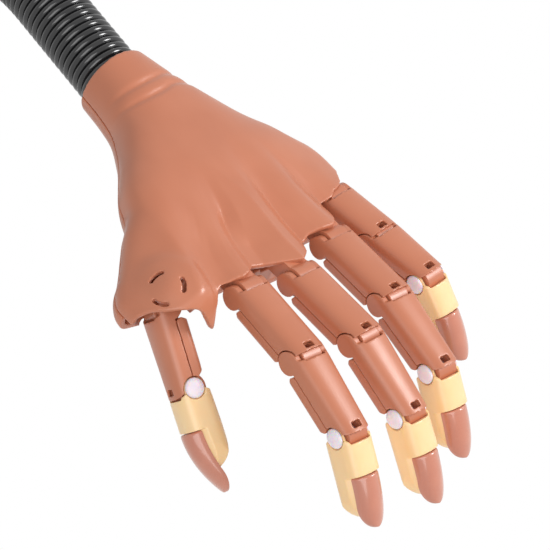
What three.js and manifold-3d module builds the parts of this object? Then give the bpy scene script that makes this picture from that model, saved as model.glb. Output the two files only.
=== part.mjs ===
// Nail practice hand on a gooseneck arm with a table clamp.
// Millimetres, +Z up. +X runs from the wrist to the fingertips, +Y towards the little finger.
// The origin is on the table top, under the middle of the clamp's upper jaw.
import * as THREE from 'three';
import { mergeVertices } from 'three/addons/utils/BufferGeometryUtils.js';
import Module from 'manifold-3d';

const wasm = await Module();
wasm.setup();

const { cos, sin, asin, abs, sign, sqrt, min, max, PI } = Math;
const radians = (degrees) => (degrees * PI) / 180;

// Clearances
const seatGap = 0.3; // between pieces that rest on each other or are held by each other
const runGap = 0.35; // between an ear or a tongue and what it turns against
const reach = 40; // how far a cutting tool runs past the piece it cuts

// Phalanges, the same for every finger
const fingerWidth = 15;
const fingerTop = 6.5; // crown above the hinge line
const fingerUnder = 5.2; // underside below the hinge line
const fingerWall = 2;
const splitHeight = -0.3; // lower edge of the upper shell, from the hinge line
const earRadius = 4.2;
const roofStart = [1.3, 2.6]; // front of a shell's back above its ears: at the ears' height, and at the crest
const roofReach = [0.9, 1.4]; // how far a shell's back reaches past its far hinge, at the same heights
const tongueWidth = 8.4;
const barrelRadius = 5.2;
const tongueTop = fingerTop - fingerWall - seatGap;
const tongueUnder = 3.8;
const trunnionRadius = 2.2;
const trunnionReach = 2; // how far a trunnion stands out of its tongue
const windowLength = 2.2;
const windowWidth = 3.8;
const windowSetback = 0.6; // window's middle, back from the far hinge
const windowFloor = 3; // bottom of the window's pocket, above the hinge line

// Fingertips, pins and nails
const tipWidth = 14.5;
const tipLength = 28.8; // hinge line to the end of the soft tip
const tipEarRadius = 3.6;
const tipStart = [1, 2.6]; // front of the soft tip above its ears: at the ears' height, and at the crest
const tipReach = [0.7, 2.2]; // how far a pinned shell's back reaches past the pin, at the same heights
const pinRadius = 2;
const pinHeadRadius = 3.5;
const pinHeadDome = 1.7;
const pinRecess = 1.2;
const nailRoot = 10; // root end of the nail's tab, from the tip's hinge line
const nailRim = 14; // where the nail comes out of the soft tip
const nailWidth = 10.2;
const nailCrest = 7.2; // top of the nail at the rim
const nailUnder = 4.4; // underside of the nail's crest, in the slot and at the rim
const nailSag = 1.7; // how far the nail's edges lie below its crest
const nailEndThickness = 1.2;
const nailOval = 8; // length over which the free end narrows
const tabWidth = 8.4;
const tabThickness = 0.9;

// Free ends of the nails: distance from the tip's hinge line, and drop from the rim
const fingerNail = { end: 32.3, drop: 3.7 };
const thumbNail = { end: 36.6, drop: 8.4 };

// Hand
const shellWall = 2.2;
const wristRadius = 14.6;
const partingHeight = -2; // where the two shells meet, from the wrist's centre
const armYaw = -3; // degrees, the arm's upright plane about Z
const armRise = 4; // degrees, how the hose climbs as it leaves the wrist
const swivelBack = 16; // knuckle swivel post, behind the knuckle hinge
const swivelRadius = 2.4;
const eyeRadius = 5.2;
const eyeHalfHeight = 4;
const bossRadius = 4.8;
const palmClear = swivelBack - 5; // from each knuckle back to the palm shell's edge, room for the finger to bend
const plugRadius = 12.2;
const plugBore = 5.7;
const flangeThickness = 3;
const gripThickness = 2;

// Knuckle hinge of each finger from the wrist's centre, its heading and lean, and its bends in degrees
const fingers = [
  {
    name: 'index',
    hinge: [101.7, -24.8, -1.2],
    yaw: -3.2,
    roll: -0.8,
    bends: [1.6, 15.3, 24.6],
    lengths: [30.6, 28.9],
    spread: [-10, 4],
  },
  {
    name: 'middle',
    hinge: [106.6, -4.5, 1],
    yaw: 0.2,
    roll: 0.2,
    bends: [0.2, 19.8, 22],
    lengths: [30.6, 28.9],
    spread: [-3, 3],
  },
  {
    name: 'ring',
    hinge: [98.5, 20.2, 0.1],
    yaw: -2.5,
    roll: 2.2,
    bends: [-2.2, 16.2, 30.2],
    lengths: [30.6, 28.9],
    spread: [-3, 3],
  },
  {
    name: 'little',
    hinge: [82, 38.1, -2.2],
    yaw: 3.5,
    roll: 5.2,
    bends: [-3.4, 2.2, 40.5],
    lengths: [22.3, 22.8],
    spread: [-3, 8],
  },
];

// Screws through the palm shell into the back shell's bosses, from the wrist's centre
const screwPlaces = [
  [27, -9],
  [27, 13],
  [58, -30],
  [47, 20],
];
const screwHead = 2.9;
const screwShank = 1.4;
const screwSeat = -8;
const screwEnd = 6;
const screwBoss = 4;

// Thumb: hinge from the wrist's centre, its heading, and the dome that it swivels under
const thumb = {
  hinge: [87.2, -47.4, -12.9],
  heading: [0.827, -0.094, -0.554],
  side: [0.526, -0.219, 0.822],
  length: 28,
  dome: [88.8, -52.1, 2],
  lean: 30, // degrees that the dome's axis leans outwards
  bend: 0,
};
const domeRadius = 8.5;
const domeRise = 1.2;
const slotRingRadius = 5.9;
const slotWidth = 1.1;
const slotSpan = 42; // degrees of each arc slot
const discTop = -4; // thumb base's disc, from the dome's middle along its axis
const discThickness = 2.4;
const discRadius = 7.2;
const stemFront = 3.6; // front of the thumb base's stem, behind the dome's axis

// Gooseneck
const hoseRadius = 12.5; // crest of a rib
const hoseGroove = 11.2;
const hoseBore = 6;
const hoseSections = 6;
const ribsPerSection = 15;
const hoseSides = 8;
const hoseSpigot = hoseBore * cos(PI / hoseSides) - seatGap; // what stands in the hose's bore
const endRibInset = 1.5; // middle of a section's last rib from its joint's centre
const hoseSeat = 6; // how far the hose goes into the wrist
const straightAtWrist = 45;
const bendRadius = 75;
const straightAtBase = 90;
const ballRadius = 8.6;
const noseReach = 4.5;
const faceInset = 2.4; // a section's end face from the joint's centre
const socketDepth = 6.2;

// Clamp
const padThickness = 2;
const clampWidth = 26;
const jawDepth = 24; // jaw's front, ahead of the post
const clampBack = -34;
const clampSpine = 12; // thickness of the frame's back
const upperJaw = 13.7;
const jawOpening = 50; // between the jaw faces
const lowerJaw = 15;
const screwRadius = 5;
const tableRoom = 30; // from the upper jaw's pad down to the pressure pad
const pressurePadRadius = 14;
const pressurePadHeight = 6;
const knobRadius = 17;
const knobHeight = 13;
const screwFoot = padThickness - jawOpening - lowerJaw - 26; // knob's upper face
const collarRadius = 16;
const collarHeight = 17;
const collarStub = 6;
const collarFloor = 3;

// A closed three.js geometry as a solid that can be joined and cut
function solid(geometry) {
  const plain = geometry.index ? geometry.toNonIndexed() : geometry.clone();
  plain.deleteAttribute('normal');
  plain.deleteAttribute('uv');
  const merged = mergeVertices(plain, 1e-4);
  return new wasm.Manifold(
    new wasm.Mesh({
      numProp: 3,
      vertProperties: new Float32Array(merged.attributes.position.array),
      triVerts: new Uint32Array(merged.index.array),
    }),
  );
}

function geometryOf(manifold) {
  const { vertProperties, triVerts } = manifold.getMesh();
  const geometry = new THREE.BufferGeometry();
  geometry.setAttribute('position', new THREE.BufferAttribute(new Float32Array(vertProperties), 3));
  geometry.setIndex(new THREE.BufferAttribute(new Uint32Array(triVerts), 1));
  return geometry;
}

const joined = (first, ...others) => others.reduce((all, next) => all.add(next), first);
const cut = (first, ...others) => others.reduce((all, next) => all.subtract(next), first);

// The largest body, without the crumbs that a cut can leave
const largest = (manifold) =>
  manifold.decompose().reduce((most, next) => (next.volume() > most.volume() ? next : most));

// Planes that a profile is drawn in, and the direction it is then pushed along
const basisOf = {
  xy: new THREE.Matrix4(),
  xz: new THREE.Matrix4().makeBasis(
    new THREE.Vector3(1, 0, 0),
    new THREE.Vector3(0, 0, 1),
    new THREE.Vector3(0, -1, 0),
  ),
  yz: new THREE.Matrix4().makeBasis(
    new THREE.Vector3(0, 1, 0),
    new THREE.Vector3(0, 0, 1),
    new THREE.Vector3(1, 0, 0),
  ),
};

function shapeOf(points) {
  return new THREE.Shape(points.map(([u, v]) => new THREE.Vector2(u, v)));
}

// A profile pushed from one coordinate to another along the axis that its plane leaves out
function pushed(profile, plane, from, to, curveSegments = 8) {
  const shape = profile instanceof THREE.Shape ? profile : shapeOf(profile);
  const geometry = new THREE.ExtrudeGeometry(shape, {
    depth: to - from,
    bevelEnabled: false,
    curveSegments,
  });
  const start = plane === 'xz' ? -to : from;
  geometry.translate(0, 0, start);
  geometry.applyMatrix4(basisOf[plane]);
  return geometry;
}

const block = (x0, x1, y0, y1, z0, z1) =>
  solid(
    new THREE.BoxGeometry(x1 - x0, y1 - y0, z1 - z0)
      .translate((x0 + x1) / 2, (y0 + y1) / 2, (z0 + z1) / 2),
  );

// A rod across the finger, along Y
function crossRod(radius, x, z, from, to, sides = 14) {
  const geometry = new THREE.CylinderGeometry(radius, radius, to - from, sides);
  return solid(geometry.translate(x, (from + to) / 2, z));
}

// An upright rod, along Z
function post(radius, x, y, from, to, sides = 10) {
  const geometry = new THREE.CylinderGeometry(radius, radius, to - from, sides);
  return solid(geometry.rotateX(PI / 2).translate(x, y, (from + to) / 2));
}

// A solid turned about Z from an outline of radius and height that starts and ends on the axis
function turned(outline, sides = 24) {
  const points = outline.map(([radius, height]) => new THREE.Vector2(radius, height));
  const facing = THREE.ShapeUtils.area(points) < 0 ? points.reverse() : points;
  return new THREE.LatheGeometry(facing, sides).rotateX(PI / 2);
}

const moved = (geometry, matrix) => geometry.clone().applyMatrix4(matrix);

function finish(name, colour, roughness, metalness = 0) {
  return new THREE.MeshStandardMaterial({ name, color: colour, roughness, metalness });
}

const brownPlastic = () => finish('brown_abs', 0xc47c62, 0.45);
const nailPlastic = () => finish('nail_pearl', 0xd08a70, 0.25);
const tipPlastic = () => finish('soft_tip', 0xfdc98a, 0.4);
const pinPlastic = () => finish('pin_nylon', 0xf3e4f0, 0.4);
const hosePlastic = () => finish('hose_pvc', 0x101012, 0.2);
const clampMetal = () => finish('clamp_enamel', 0x151515, 0.35, 0.5);
const screwMetal = () => finish('plated_steel', 0xb8b8bc, 0.3, 1);
const padRubber = () => finish('pad_rubber', 0x202020, 0.8);

function piece(parent, name, shape, material) {
  const mesh = new THREE.Mesh(shape.isBufferGeometry ? shape : geometryOf(shape), material);
  mesh.name = name;
  parent.add(mesh);
  return mesh;
}

function joint(parent, x = 0, y = 0, z = 0) {
  const group = new THREE.Group();
  group.position.set(x, y, z);
  parent.add(group);
  return group;
}

// Cross-section of a phalanx, seen along the finger: straight flanks under a rounded back
function crown(width, top, under, foot = 3) {
  const half = width / 2;
  const shape = new THREE.Shape();
  shape.moveTo(-half, -under + foot);
  shape.lineTo(-half, 1.5);
  shape.quadraticCurveTo(-half, top, 0, top);
  shape.quadraticCurveTo(half, top, half, 1.5);
  shape.lineTo(half, -under + foot);
  shape.quadraticCurveTo(half, -under, half - foot, -under);
  shape.lineTo(-half + foot, -under);
  shape.quadraticCurveTo(-half, -under, -half, -under + foot);
  return shape;
}

// Ear round the near hinge, and the body that follows it down to a lower edge
function earAndBody(length, bottom) {
  const shape = new THREE.Shape();
  const [low, high] = roofStart;
  const out = asin(bottom / earRadius);
  shape.moveTo(length + reach, fingerTop);
  shape.lineTo(high, fingerTop);
  shape.lineTo(low, earRadius);
  shape.lineTo(0, earRadius);
  shape.absarc(0, 0, earRadius, PI / 2, 2 * PI + out, false);
  shape.lineTo(length + reach, bottom);
  return shape;
}

// What is taken off a piece so that the next one's ears, of a given radius, turn beside its tongue
function earRoom(x, radius, [low, high]) {
  const outer = fingerWidth;
  const inner = tongueWidth / 2;
  const beyond = [
    [x + low, -reach],
    [x + low, radius + runGap],
    [x + high, fingerTop],
    [x + high, reach],
    [x + reach, reach],
    [x + reach, -reach],
  ];
  const across = (from, to) => [
    crossRod(radius + runGap, x, 0, from, to),
    block(x, x + low + 1, from, to, -reach, 0),
  ];
  return joined(
    solid(pushed(beyond, 'xz', -outer, outer)),
    ...across(inner, outer),
    ...across(-outer, -inner),
  );
}

// What is taken off a piece so that the tongue before it turns between its ears
function tongueRoom() {
  const half = tongueWidth / 2 + runGap;
  return joined(
    crossRod(barrelRadius + runGap, 0, 0, -half, half, 12),
    block(-reach, roofStart[0], -half, half, -reach, reach),
    block(-reach, roofStart[1], -half, half, earRadius, reach),
  );
}

// Tongue that the next piece's ears hold, round the hinge at x
function tongue(x, back) {
  const half = tongueWidth / 2;
  return joined(
    crossRod(barrelRadius, x, 0, -half, half, 12),
    block(x - back, x, -half, half, -tongueUnder, tongueTop),
  );
}

function trunnions(x) {
  const end = tongueWidth / 2 + trunnionReach;
  return crossRod(trunnionRadius, x, 0, -end, end, 8);
}

function trunnionSockets() {
  const end = tongueWidth / 2 + trunnionReach + seatGap;
  return crossRod(trunnionRadius + seatGap, 0, 0, -end, end, 8);
}

const pocketHalf = fingerWidth / 2 - fingerWall;
const pocketTop = fingerTop - fingerWall;
const pocketStart = barrelRadius + runGap + fingerWall;

// Small window through a shell's back above the far hinge, and the pocket under it
function windowBlock(length) {
  const middle = length - windowSetback;
  const half = windowWidth / 2;
  return block(middle - windowLength / 2, middle + windowLength / 2, -half, half, windowFloor, reach);
}

// Room for what turns at a phalanx's far hinge: the next phalanx's ears, or the soft tip's
const farRoom = (length, pinned) =>
  pinned ? earRoom(length, tipEarRadius, tipReach) : earRoom(length, earRadius, roofReach);

// Upper shell of a phalanx, open below
function phalanxShell(length, pinned) {
  const half = fingerWidth / 2;
  const outside = solid(pushed(earAndBody(length, splitHeight), 'xz', -half, half, 6)).intersect(
    solid(pushed(crown(fingerWidth, fingerTop, reach), 'yz', -reach, length + reach, 4)),
  );
  const barrelHalf = tongueWidth / 2 + seatGap;
  return cut(
    outside,
    tongueRoom(),
    block(pocketStart, length - fingerWall, -pocketHalf, pocketHalf, -reach, pocketTop),
    block(pocketStart, length + reach, -barrelHalf, barrelHalf, -reach, tongueTop + seatGap),
    crossRod(barrelRadius + seatGap, length, 0, -barrelHalf, barrelHalf, 12),
    farRoom(length, pinned),
    trunnionSockets(),
    windowBlock(length),
  );
}

// Palm-side core of a phalanx: a slab, a rib that fills the shell, and the tongue round the far hinge
function phalanxCore(length, pinned) {
  const half = fingerWidth / 2;
  const top = splitHeight - runGap;
  const slab = solid(
    pushed(
      [
        [4.9, top],
        [4.2, -2.6],
        [5.6, -fingerUnder],
        [length - 9, -fingerUnder],
        [length - 4.8, -4.6],
        [length - 3, -2.3],
        [length - 3, top],
      ],
      'xz',
      -half,
      half,
    ),
  ).intersect(solid(pushed(crown(fingerWidth, fingerTop, fingerUnder, 2.6), 'yz', 0, length, 3)));
  const ribHalf = pocketHalf - seatGap;
  const rib = block(pocketStart + seatGap, length - 7, -ribHalf, ribHalf, top - 1, pocketTop - seatGap);
  const body = cut(joined(slab, rib), tongueRoom(), farRoom(length, pinned));
  const whole = cut(joined(body, tongue(length, 12)), windowBlock(length));
  if (pinned) {
    return cut(whole, crossRod(pinRadius + seatGap, length, 0, -reach, reach, 8));
  }
  return joined(whole, trunnions(length));
}

// Soft fingertip: ears round the pin, a long pad that ends round, and a bed for the nail
function fingertip(nailForm) {
  const half = tipWidth / 2;
  const [low, high] = tipStart;
  const side = new THREE.Shape();
  side.moveTo(high, fingerTop);
  side.lineTo(low, tipEarRadius);
  side.lineTo(0, tipEarRadius);
  side.absarc(0, 0, tipEarRadius, PI / 2, (3 * PI) / 2, false);
  side.lineTo(0.8, -tipEarRadius);
  side.lineTo(1.8, -5.6);
  side.lineTo(14.6, -6.5);
  side.quadraticCurveTo(tipLength - 4, -6.5, tipLength - 1, -1.4);
  side.quadraticCurveTo(tipLength + 0.6, 2.2, tipLength - 3, 4.2);
  side.quadraticCurveTo(tipLength - 7, 6.2, nailRim, fingerTop);
  const plan = new THREE.Shape();
  plan.moveTo(-reach, -half);
  plan.lineTo(tipLength - 9, -half);
  plan.quadraticCurveTo(tipLength, -half + 0.6, tipLength, 0);
  plan.quadraticCurveTo(tipLength, half - 0.6, tipLength - 9, half);
  plan.lineTo(-reach, half);
  const body = solid(pushed(side, 'xz', -half, half, 5))
    .intersect(solid(pushed(plan, 'xy', -reach, reach, 3)))
    .intersect(solid(pushed(crown(tipWidth, fingerTop, 7, 5), 'yz', -reach, reach, 3)));
  const recess = half - pinRecess;
  return cut(
    body,
    tongueRoom(),
    crossRod(pinRadius + seatGap, 0, 0, -reach, reach, 8),
    crossRod(pinHeadRadius + seatGap, 0, 0, recess, reach, 10),
    crossRod(pinHeadRadius + seatGap, 0, 0, -reach, -recess, 10),
    solid(nailSlot()),
    solid(nailBed(nailForm)),
  );
}

// A bowed plate from rings of places along the finger, each with a width and the heights of its two faces
function plate(rings, across = 8) {
  const corners = rings.flatMap(({ x, half, top, under, sag }) => {
    const line = (height, bow) =>
      Array.from({ length: across + 1 }, (_, k) => {
        const y = half * ((2 * k) / across - 1);
        return new THREE.Vector3(x, y, height - bow * ((2 * y) / nailWidth) ** 2);
      });
    return [...line(top, sag ?? nailSag), ...line(under, nailSag).reverse()];
  });
  const count = 2 * (across + 1);
  const index = [];
  const face = (a, b, c, d) => index.push(a, b, c, a, c, d);
  for (let r = 0; r < rings.length - 1; r += 1) {
    for (let k = 0; k < count; k += 1) {
      const next = (k + 1) % count;
      face(r * count + k, r * count + next, (r + 1) * count + next, (r + 1) * count + k);
    }
  }
  const last = (rings.length - 1) * count;
  for (let k = 0; k < across; k += 1) {
    const [a, b, c, d] = [k, k + 1, count - 2 - k, count - 1 - k];
    face(d, c, b, a);
    face(last + a, last + b, last + c, last + d);
  }
  return meshFrom(corners, index);
}

// Height of the nail's crest and of its underside at a place past the rim
function nailHeights({ end, drop }, x) {
  const share = (x - nailRim) / (end - nailRim);
  const underDrop = drop + nailUnder + nailEndThickness - nailCrest;
  return [nailCrest - drop * share ** 2, nailUnder - underDrop * share ** 2];
}

// Nail tip: a tab in the soft tip's slot, a step up at the rim, and a long bowed plate with an oval end
function nail(form) {
  const half = nailWidth / 2;
  const ovalStart = form.end - nailOval;
  const tab = { half: tabWidth / 2, top: nailUnder + tabThickness, under: nailUnder };
  const middle = (nailRim + ovalStart) / 2;
  const oval = [0.45, 0.72, 0.9, 0.99].map((share) => ovalStart + share * nailOval);
  const places = [nailRim, middle, ovalStart, ...oval];
  const free = places.map((x) => {
    const [top, under] = nailHeights(form, x);
    const narrowing = max(0, (x - ovalStart) / nailOval);
    return { x, half: half * sqrt(1 - narrowing ** 2), top, under };
  });
  return plate([{ ...tab, x: nailRoot }, { ...tab, x: nailRim }, ...free]);
}

// Slot in the soft tip for the nail's tab
function nailSlot() {
  const room = {
    half: tabWidth / 2 + seatGap,
    top: nailUnder + tabThickness + seatGap,
    under: nailUnder - seatGap,
  };
  return plate([
    { ...room, x: nailRoot - seatGap },
    { ...room, x: nailRim + seatGap },
  ]);
}

// What is taken off the soft tip under and above the nail
function nailBed(form) {
  const places = [nailRim - seatGap, nailRim + 5, nailRim + 10, tipLength + 1];
  return plate(
    places.map((x) => {
      const under = nailHeights(form, max(x, nailRim))[1] - seatGap;
      return { x, half: nailWidth / 2 + seatGap, top: reach, under, sag: 0 };
    }),
  );
}

// Hinge pin with a domed head on each side
function tipPin() {
  const seat = tipWidth / 2 - pinRecess + seatGap;
  const crest = seat + pinHeadDome;
  const upper = [
    [pinRadius, seat],
    [pinHeadRadius, seat],
    [pinHeadRadius * 0.75, seat + pinHeadDome * 0.7],
    [0, crest],
  ];
  const lower = upper.map(([radius, height]) => [radius, -height]).reverse();
  const geometry = new THREE.LatheGeometry(
    [...lower, ...upper].map(([radius, height]) => new THREE.Vector2(radius, height)),
    10,
  );
  return solid(geometry);
}

// Knuckle link: a tongue for the finger, and an eye that swivels on the hand's post
function knuckleLink() {
  const eye = post(eyeRadius, -swivelBack, 0, -eyeHalfHeight, eyeHalfHeight, 12);
  const body = joined(tongue(0, swivelBack), eye);
  const trimmed = cut(body, block(-reach, -eyeRadius - 3, -reach, reach, eyeHalfHeight, reach));
  const drilled = cut(trimmed, post(swivelRadius + seatGap, -swivelBack, 0, -reach, reach));
  return joined(drilled, trunnions(0));
}

// Builds one finger from its hinge outwards, each bend turning the groups that follow
function buildFinger(hand, { name, hinge, yaw, roll, bends, lengths }) {
  const knuckle = joint(hand, ...hinge);
  knuckle.rotation.set(radians(roll), 0, radians(yaw), 'ZYX');
  piece(knuckle, `${name}_knuckle_link`, knuckleLink(), brownPlastic());
  const [proximalLength, middleLength] = lengths;
  const proximal = joint(knuckle);
  proximal.rotation.y = radians(bends[0]);
  piece(proximal, `${name}_proximal_shell`, phalanxShell(proximalLength, false), brownPlastic());
  piece(proximal, `${name}_proximal_core`, phalanxCore(proximalLength, false), brownPlastic());
  const middle = joint(proximal, proximalLength);
  middle.rotation.y = radians(bends[1]);
  piece(middle, `${name}_middle_shell`, phalanxShell(middleLength, true), brownPlastic());
  piece(middle, `${name}_middle_core`, phalanxCore(middleLength, true), brownPlastic());
  buildTip(joint(middle, middleLength), name, bends[2], fingerNail);
}

function buildTip(group, name, bend, nailForm) {
  group.rotation.y = radians(bend);
  piece(group, `${name}_tip_pin`, tipPin(), pinPlastic());
  piece(group, `${name}_fingertip`, fingertip(nailForm), tipPlastic());
  piece(group, `${name}_nail`, nail(nailForm), nailPlastic());
}

// Smooth value between the pairs of a list, as place and value
function along(pairs, at) {
  const last = pairs.length - 1;
  const place = min(max(at, pairs[0][0]), pairs[last][0]);
  let i = 0;
  while (i < last - 1 && place > pairs[i + 1][0]) i += 1;
  const slope = (k) => {
    const before = pairs[max(k - 1, 0)];
    const after = pairs[min(k + 1, last)];
    return (after[1] - before[1]) / (after[0] - before[0]);
  };
  const [x0, y0] = pairs[i];
  const [x1, y1] = pairs[i + 1];
  const step = x1 - x0;
  const u = (place - x0) / step;
  const bend = u * u * (3 - 2 * u);
  const lean = u * (1 - u) * step;
  return y0 + (y1 - y0) * bend + lean * ((1 - u) * slope(i) - u * slope(i + 1));
}

const rise = (from, to, at) => {
  const u = min(max((at - from) / (to - from), 0), 1);
  return u * u * (3 - 2 * u);
};

// Outline of the hand, by share of the way from the wrist to the knuckle edge
const thumbSide = [
  [0, -wristRadius],
  [0.125, -16],
  [0.24, -19],
  [0.355, -26.5],
  [0.56, -42.5],
  [0.73, -54],
  [0.9, -62],
  [1, -62.5],
];
const littleSide = [
  [0, wristRadius],
  [0.15, 19],
  [0.3, 25.5],
  [0.45, 31.5],
  [0.62, 39.5],
  [0.75, 44.6],
  [0.88, 47],
  [1, 47],
];
const backHeight = [[0, wristRadius], [0.2, 13.6], [0.5, 12], [0.8, 10.2], [1, 9.4]];
const palmDepth = [[0, wristRadius], [0.3, 15.5], [0.7, 15], [1, 13]];
const fullness = [[0, 2], [0.2, 2.3], [0.6, 2.8], [1, 3.4]];

// Knuckle edge of the roof in plan, across the hand: a nose over each knuckle, and a notch between two
const roofEdge = [
  [-63, 90],
  [-59.5, 94.5],
  [-48, 96],
  [-42, 98],
  [-37, 99.5],
  [-31, 102],
  [-24.8, 103.1],
  [-20.4, 100.4],
  [-16, 99.8],
  [-12.4, 104],
  [-4.5, 108],
  [2.5, 104.9],
  [7.7, 98.6],
  [12, 98.6],
  [20.2, 99.9],
  [25, 96.5],
  [29, 91.5],
  [35, 85.5],
  [38.1, 83.4],
  [46, 76],
];

// Height of the roof along its knuckle edge: low between two knuckles, and just above each finger's crown
const knuckleHeight = [
  [-63, 9.4],
  [-52, 9.7],
  [-46.6, 9.3],
  [-42, 7],
  [-38, 4.8],
  [-32, 3.4],
  [-24.8, 6.3],
  [-17, 2.8],
  [-13.4, 4],
  [-4.5, 8.6],
  [6.5, 3.4],
  [13, 5.6],
  [20.2, 7.8],
  [28.3, 2.8],
  [33, 3.9],
  [38.1, 5.4],
  [46, 1.6],
];
// Height of the plain surface that the shell's hollow follows under those noses
const plainHeight = [
  [-63, 9.4],
  [-52, 9.7],
  [-46.6, 9.3],
  [-42, 6.4],
  [-38, 3.8],
  [-32, 2.8],
  [28, 2.8],
  [46, 1.6],
];
const tendonStart = 0.45; // share of the way from the wrist where the tendons begin to show
const creaseDepth = 0.9;
const creases = [0.145, 0.205];
const thumbFall = 0.42; // how steeply the back falls away to the thumb
const thenarDepth = 6;

// Height of the back, which flows from a smooth curve at the wrist into ridges that fan out to the knuckles
function crestHeight(t, y, inset) {
  const fanned = y / (0.35 + 0.65 * t);
  const share = rise(tendonStart, 1, t);
  const front = along(inset > 0 ? plainHeight : knuckleHeight, fanned);
  return along(backHeight, t) * (1 - share) + front * share - inset;
}

function fall(t, y) {
  const out = max(0, -30 - y);
  return (-thumbFall * rise(0.35, 0.75, t) * out * out) / (out + 5);
}

// A point of the hand's outer form, or of the same form drawn in by a wall
function handPoint(t, angle, inset) {
  const left = along(thumbSide, t) + inset;
  const right = along(littleSide, t) - inset;
  const power = 2 / along(fullness, t);
  const half = (right - left) / 2;
  const c = cos(angle);
  const s = sin(angle);
  const y = (left + right) / 2 + half * sign(c) * abs(c) ** power;
  const lift = abs(s) ** power;
  const crease = creases.some((place) => abs(place - t) < 0.005) && inset === 0 ? creaseDepth : 0;
  const fullThenar = inset > 0 ? thenarDepth / 2 : thenarDepth;
  const thenar = fullThenar * Math.exp(-(((y + 46) / 14) ** 2)) * rise(0.45, 0.8, t);
  const above = (crestHeight(t, y, inset) - crease) * lift;
  const below = (along(palmDepth, t) - inset + thenar) * lift;
  const z = (s > 0 ? above : -below) + fall(t, y);
  return new THREE.Vector3(t * along(roofEdge, y), y, z);
}

// A solid lofted through closed rings of points, with a flat fan at each end
function loft(rings) {
  const count = rings[0].length;
  const corners = rings.flat();
  const index = [];
  for (let r = 0; r < rings.length - 1; r += 1) {
    for (let k = 0; k < count; k += 1) {
      const a = r * count + k;
      const b = r * count + ((k + 1) % count);
      index.push(a, b, a + count, b, b + count, a + count);
    }
  }
  const capFrom = (start, outward) => {
    const centre = new THREE.Vector3();
    for (let k = 0; k < count; k += 1) centre.addScaledVector(corners[start + k], 1 / count);
    corners.push(centre);
    for (let k = 0; k < count; k += 1) {
      const pair = [start + k, start + ((k + 1) % count)];
      index.push(...(outward ? pair : pair.reverse()), corners.length - 1);
    }
  };
  capFrom(0, false);
  capFrom((rings.length - 1) * count, true);
  return meshFrom(corners, index);
}

// Corners and triangles as a geometry whose faces point out
function meshFrom(corners, index) {
  const volume = (list) => {
    let sum = 0;
    for (let i = 0; i < list.length; i += 3) {
      const [a, b, c] = [corners[list[i]], corners[list[i + 1]], corners[list[i + 2]]];
      sum += a.dot(new THREE.Vector3().crossVectors(b, c));
    }
    return sum;
  };
  const facing = volume(index) < 0 ? index.slice().reverse() : index;
  const geometry = new THREE.BufferGeometry().setFromPoints(corners);
  geometry.setIndex(facing);
  return geometry;
}

const backSteps = 24; // ring points over the back
const palmSteps = 8; // ring points under the palm
const stations = [0, 0.125, 0.145, 0.165, 0.185, 0.205, 0.225, 0.36, 0.5, 0.64, 0.77, 0.88, 0.96, 1];
const innerStations = [0.06, 0.3, 0.56, 0.78, 0.92, 1.05];

function handForm(places, inset, finer = 1) {
  const over = backSteps / finer;
  const under = palmSteps / finer;
  const angles = [];
  for (let k = 0; k < over; k += 1) angles.push((PI * k) / over);
  for (let k = 0; k < under; k += 1) angles.push(PI + (PI * k) / under);
  return solid(loft(places.map((t) => angles.map((angle) => handPoint(t, angle, inset)))));
}

// Front edge of the palm shell in plan, stepped behind each knuckle
function palmEdge() {
  const behind = fingers.map(({ hinge }) => hinge[0] - palmClear);
  const [index, middle, ring, little] = behind;
  return [
    [84, -80],
    [84, -35.5],
    [index, -35.5],
    [index, -14.5],
    [middle, -14.5],
    [middle, 8],
    [ring, 8],
    [ring, 28.2],
    [little, 28.2],
    [little, 60],
  ];
}

// Where a finger's knuckle stands in the hand
function knuckleMatrix({ hinge, yaw, roll }) {
  const lean = new THREE.Euler(radians(roll), 0, radians(yaw), 'ZYX');
  return new THREE.Matrix4().makeRotationFromEuler(lean).setPosition(...hinge);
}

function carried(manifold, matrix) {
  return solid(moved(geometryOf(manifold), matrix));
}

const wristTurn = new THREE.Euler(0, radians(armRise), radians(armYaw), 'ZYX');
const wristMatrix = new THREE.Matrix4().makeRotationFromEuler(wristTurn);

function wristRod(radius, from, to, sides = 24) {
  const geometry = new THREE.CylinderGeometry(radius, radius, to - from, sides);
  geometry.rotateZ(PI / 2).translate((from + to) / 2, 0, 0);
  return solid(moved(geometry, wristMatrix));
}

// Thumb's own directions, and the dome that it swivels under
const thumbAhead = new THREE.Vector3(...thumb.heading).normalize();
const thumbLean = new THREE.Vector3(...thumb.side);
const thumbUp = new THREE.Vector3().crossVectors(thumbAhead, thumbLean).normalize();
const thumbAcross = new THREE.Vector3().crossVectors(thumbUp, thumbAhead);
const thumbMatrix = new THREE.Matrix4()
  .makeBasis(thumbAhead, thumbAcross, thumbUp)
  .setPosition(...thumb.hinge);
const domeTurn = new THREE.Euler(radians(thumb.lean), 0, 0);
const domeMatrix = new THREE.Matrix4().makeRotationFromEuler(domeTurn).setPosition(...thumb.dome);

const plugFlange = [hoseSeat + seatGap, hoseSeat + seatGap + flangeThickness];
const gripWall = [plugFlange[1] + seatGap, plugFlange[1] + seatGap + gripThickness];

function swivelPosts() {
  const tall = fingers.map((finger) => {
    const column = joined(
      post(bossRadius, -swivelBack, 0, -reach, -eyeHalfHeight - seatGap),
      post(swivelRadius, -swivelBack, 0, -eyeHalfHeight - 1, eyeHalfHeight),
    );
    return carried(column, knuckleMatrix(finger));
  });
  return tall;
}

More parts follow.
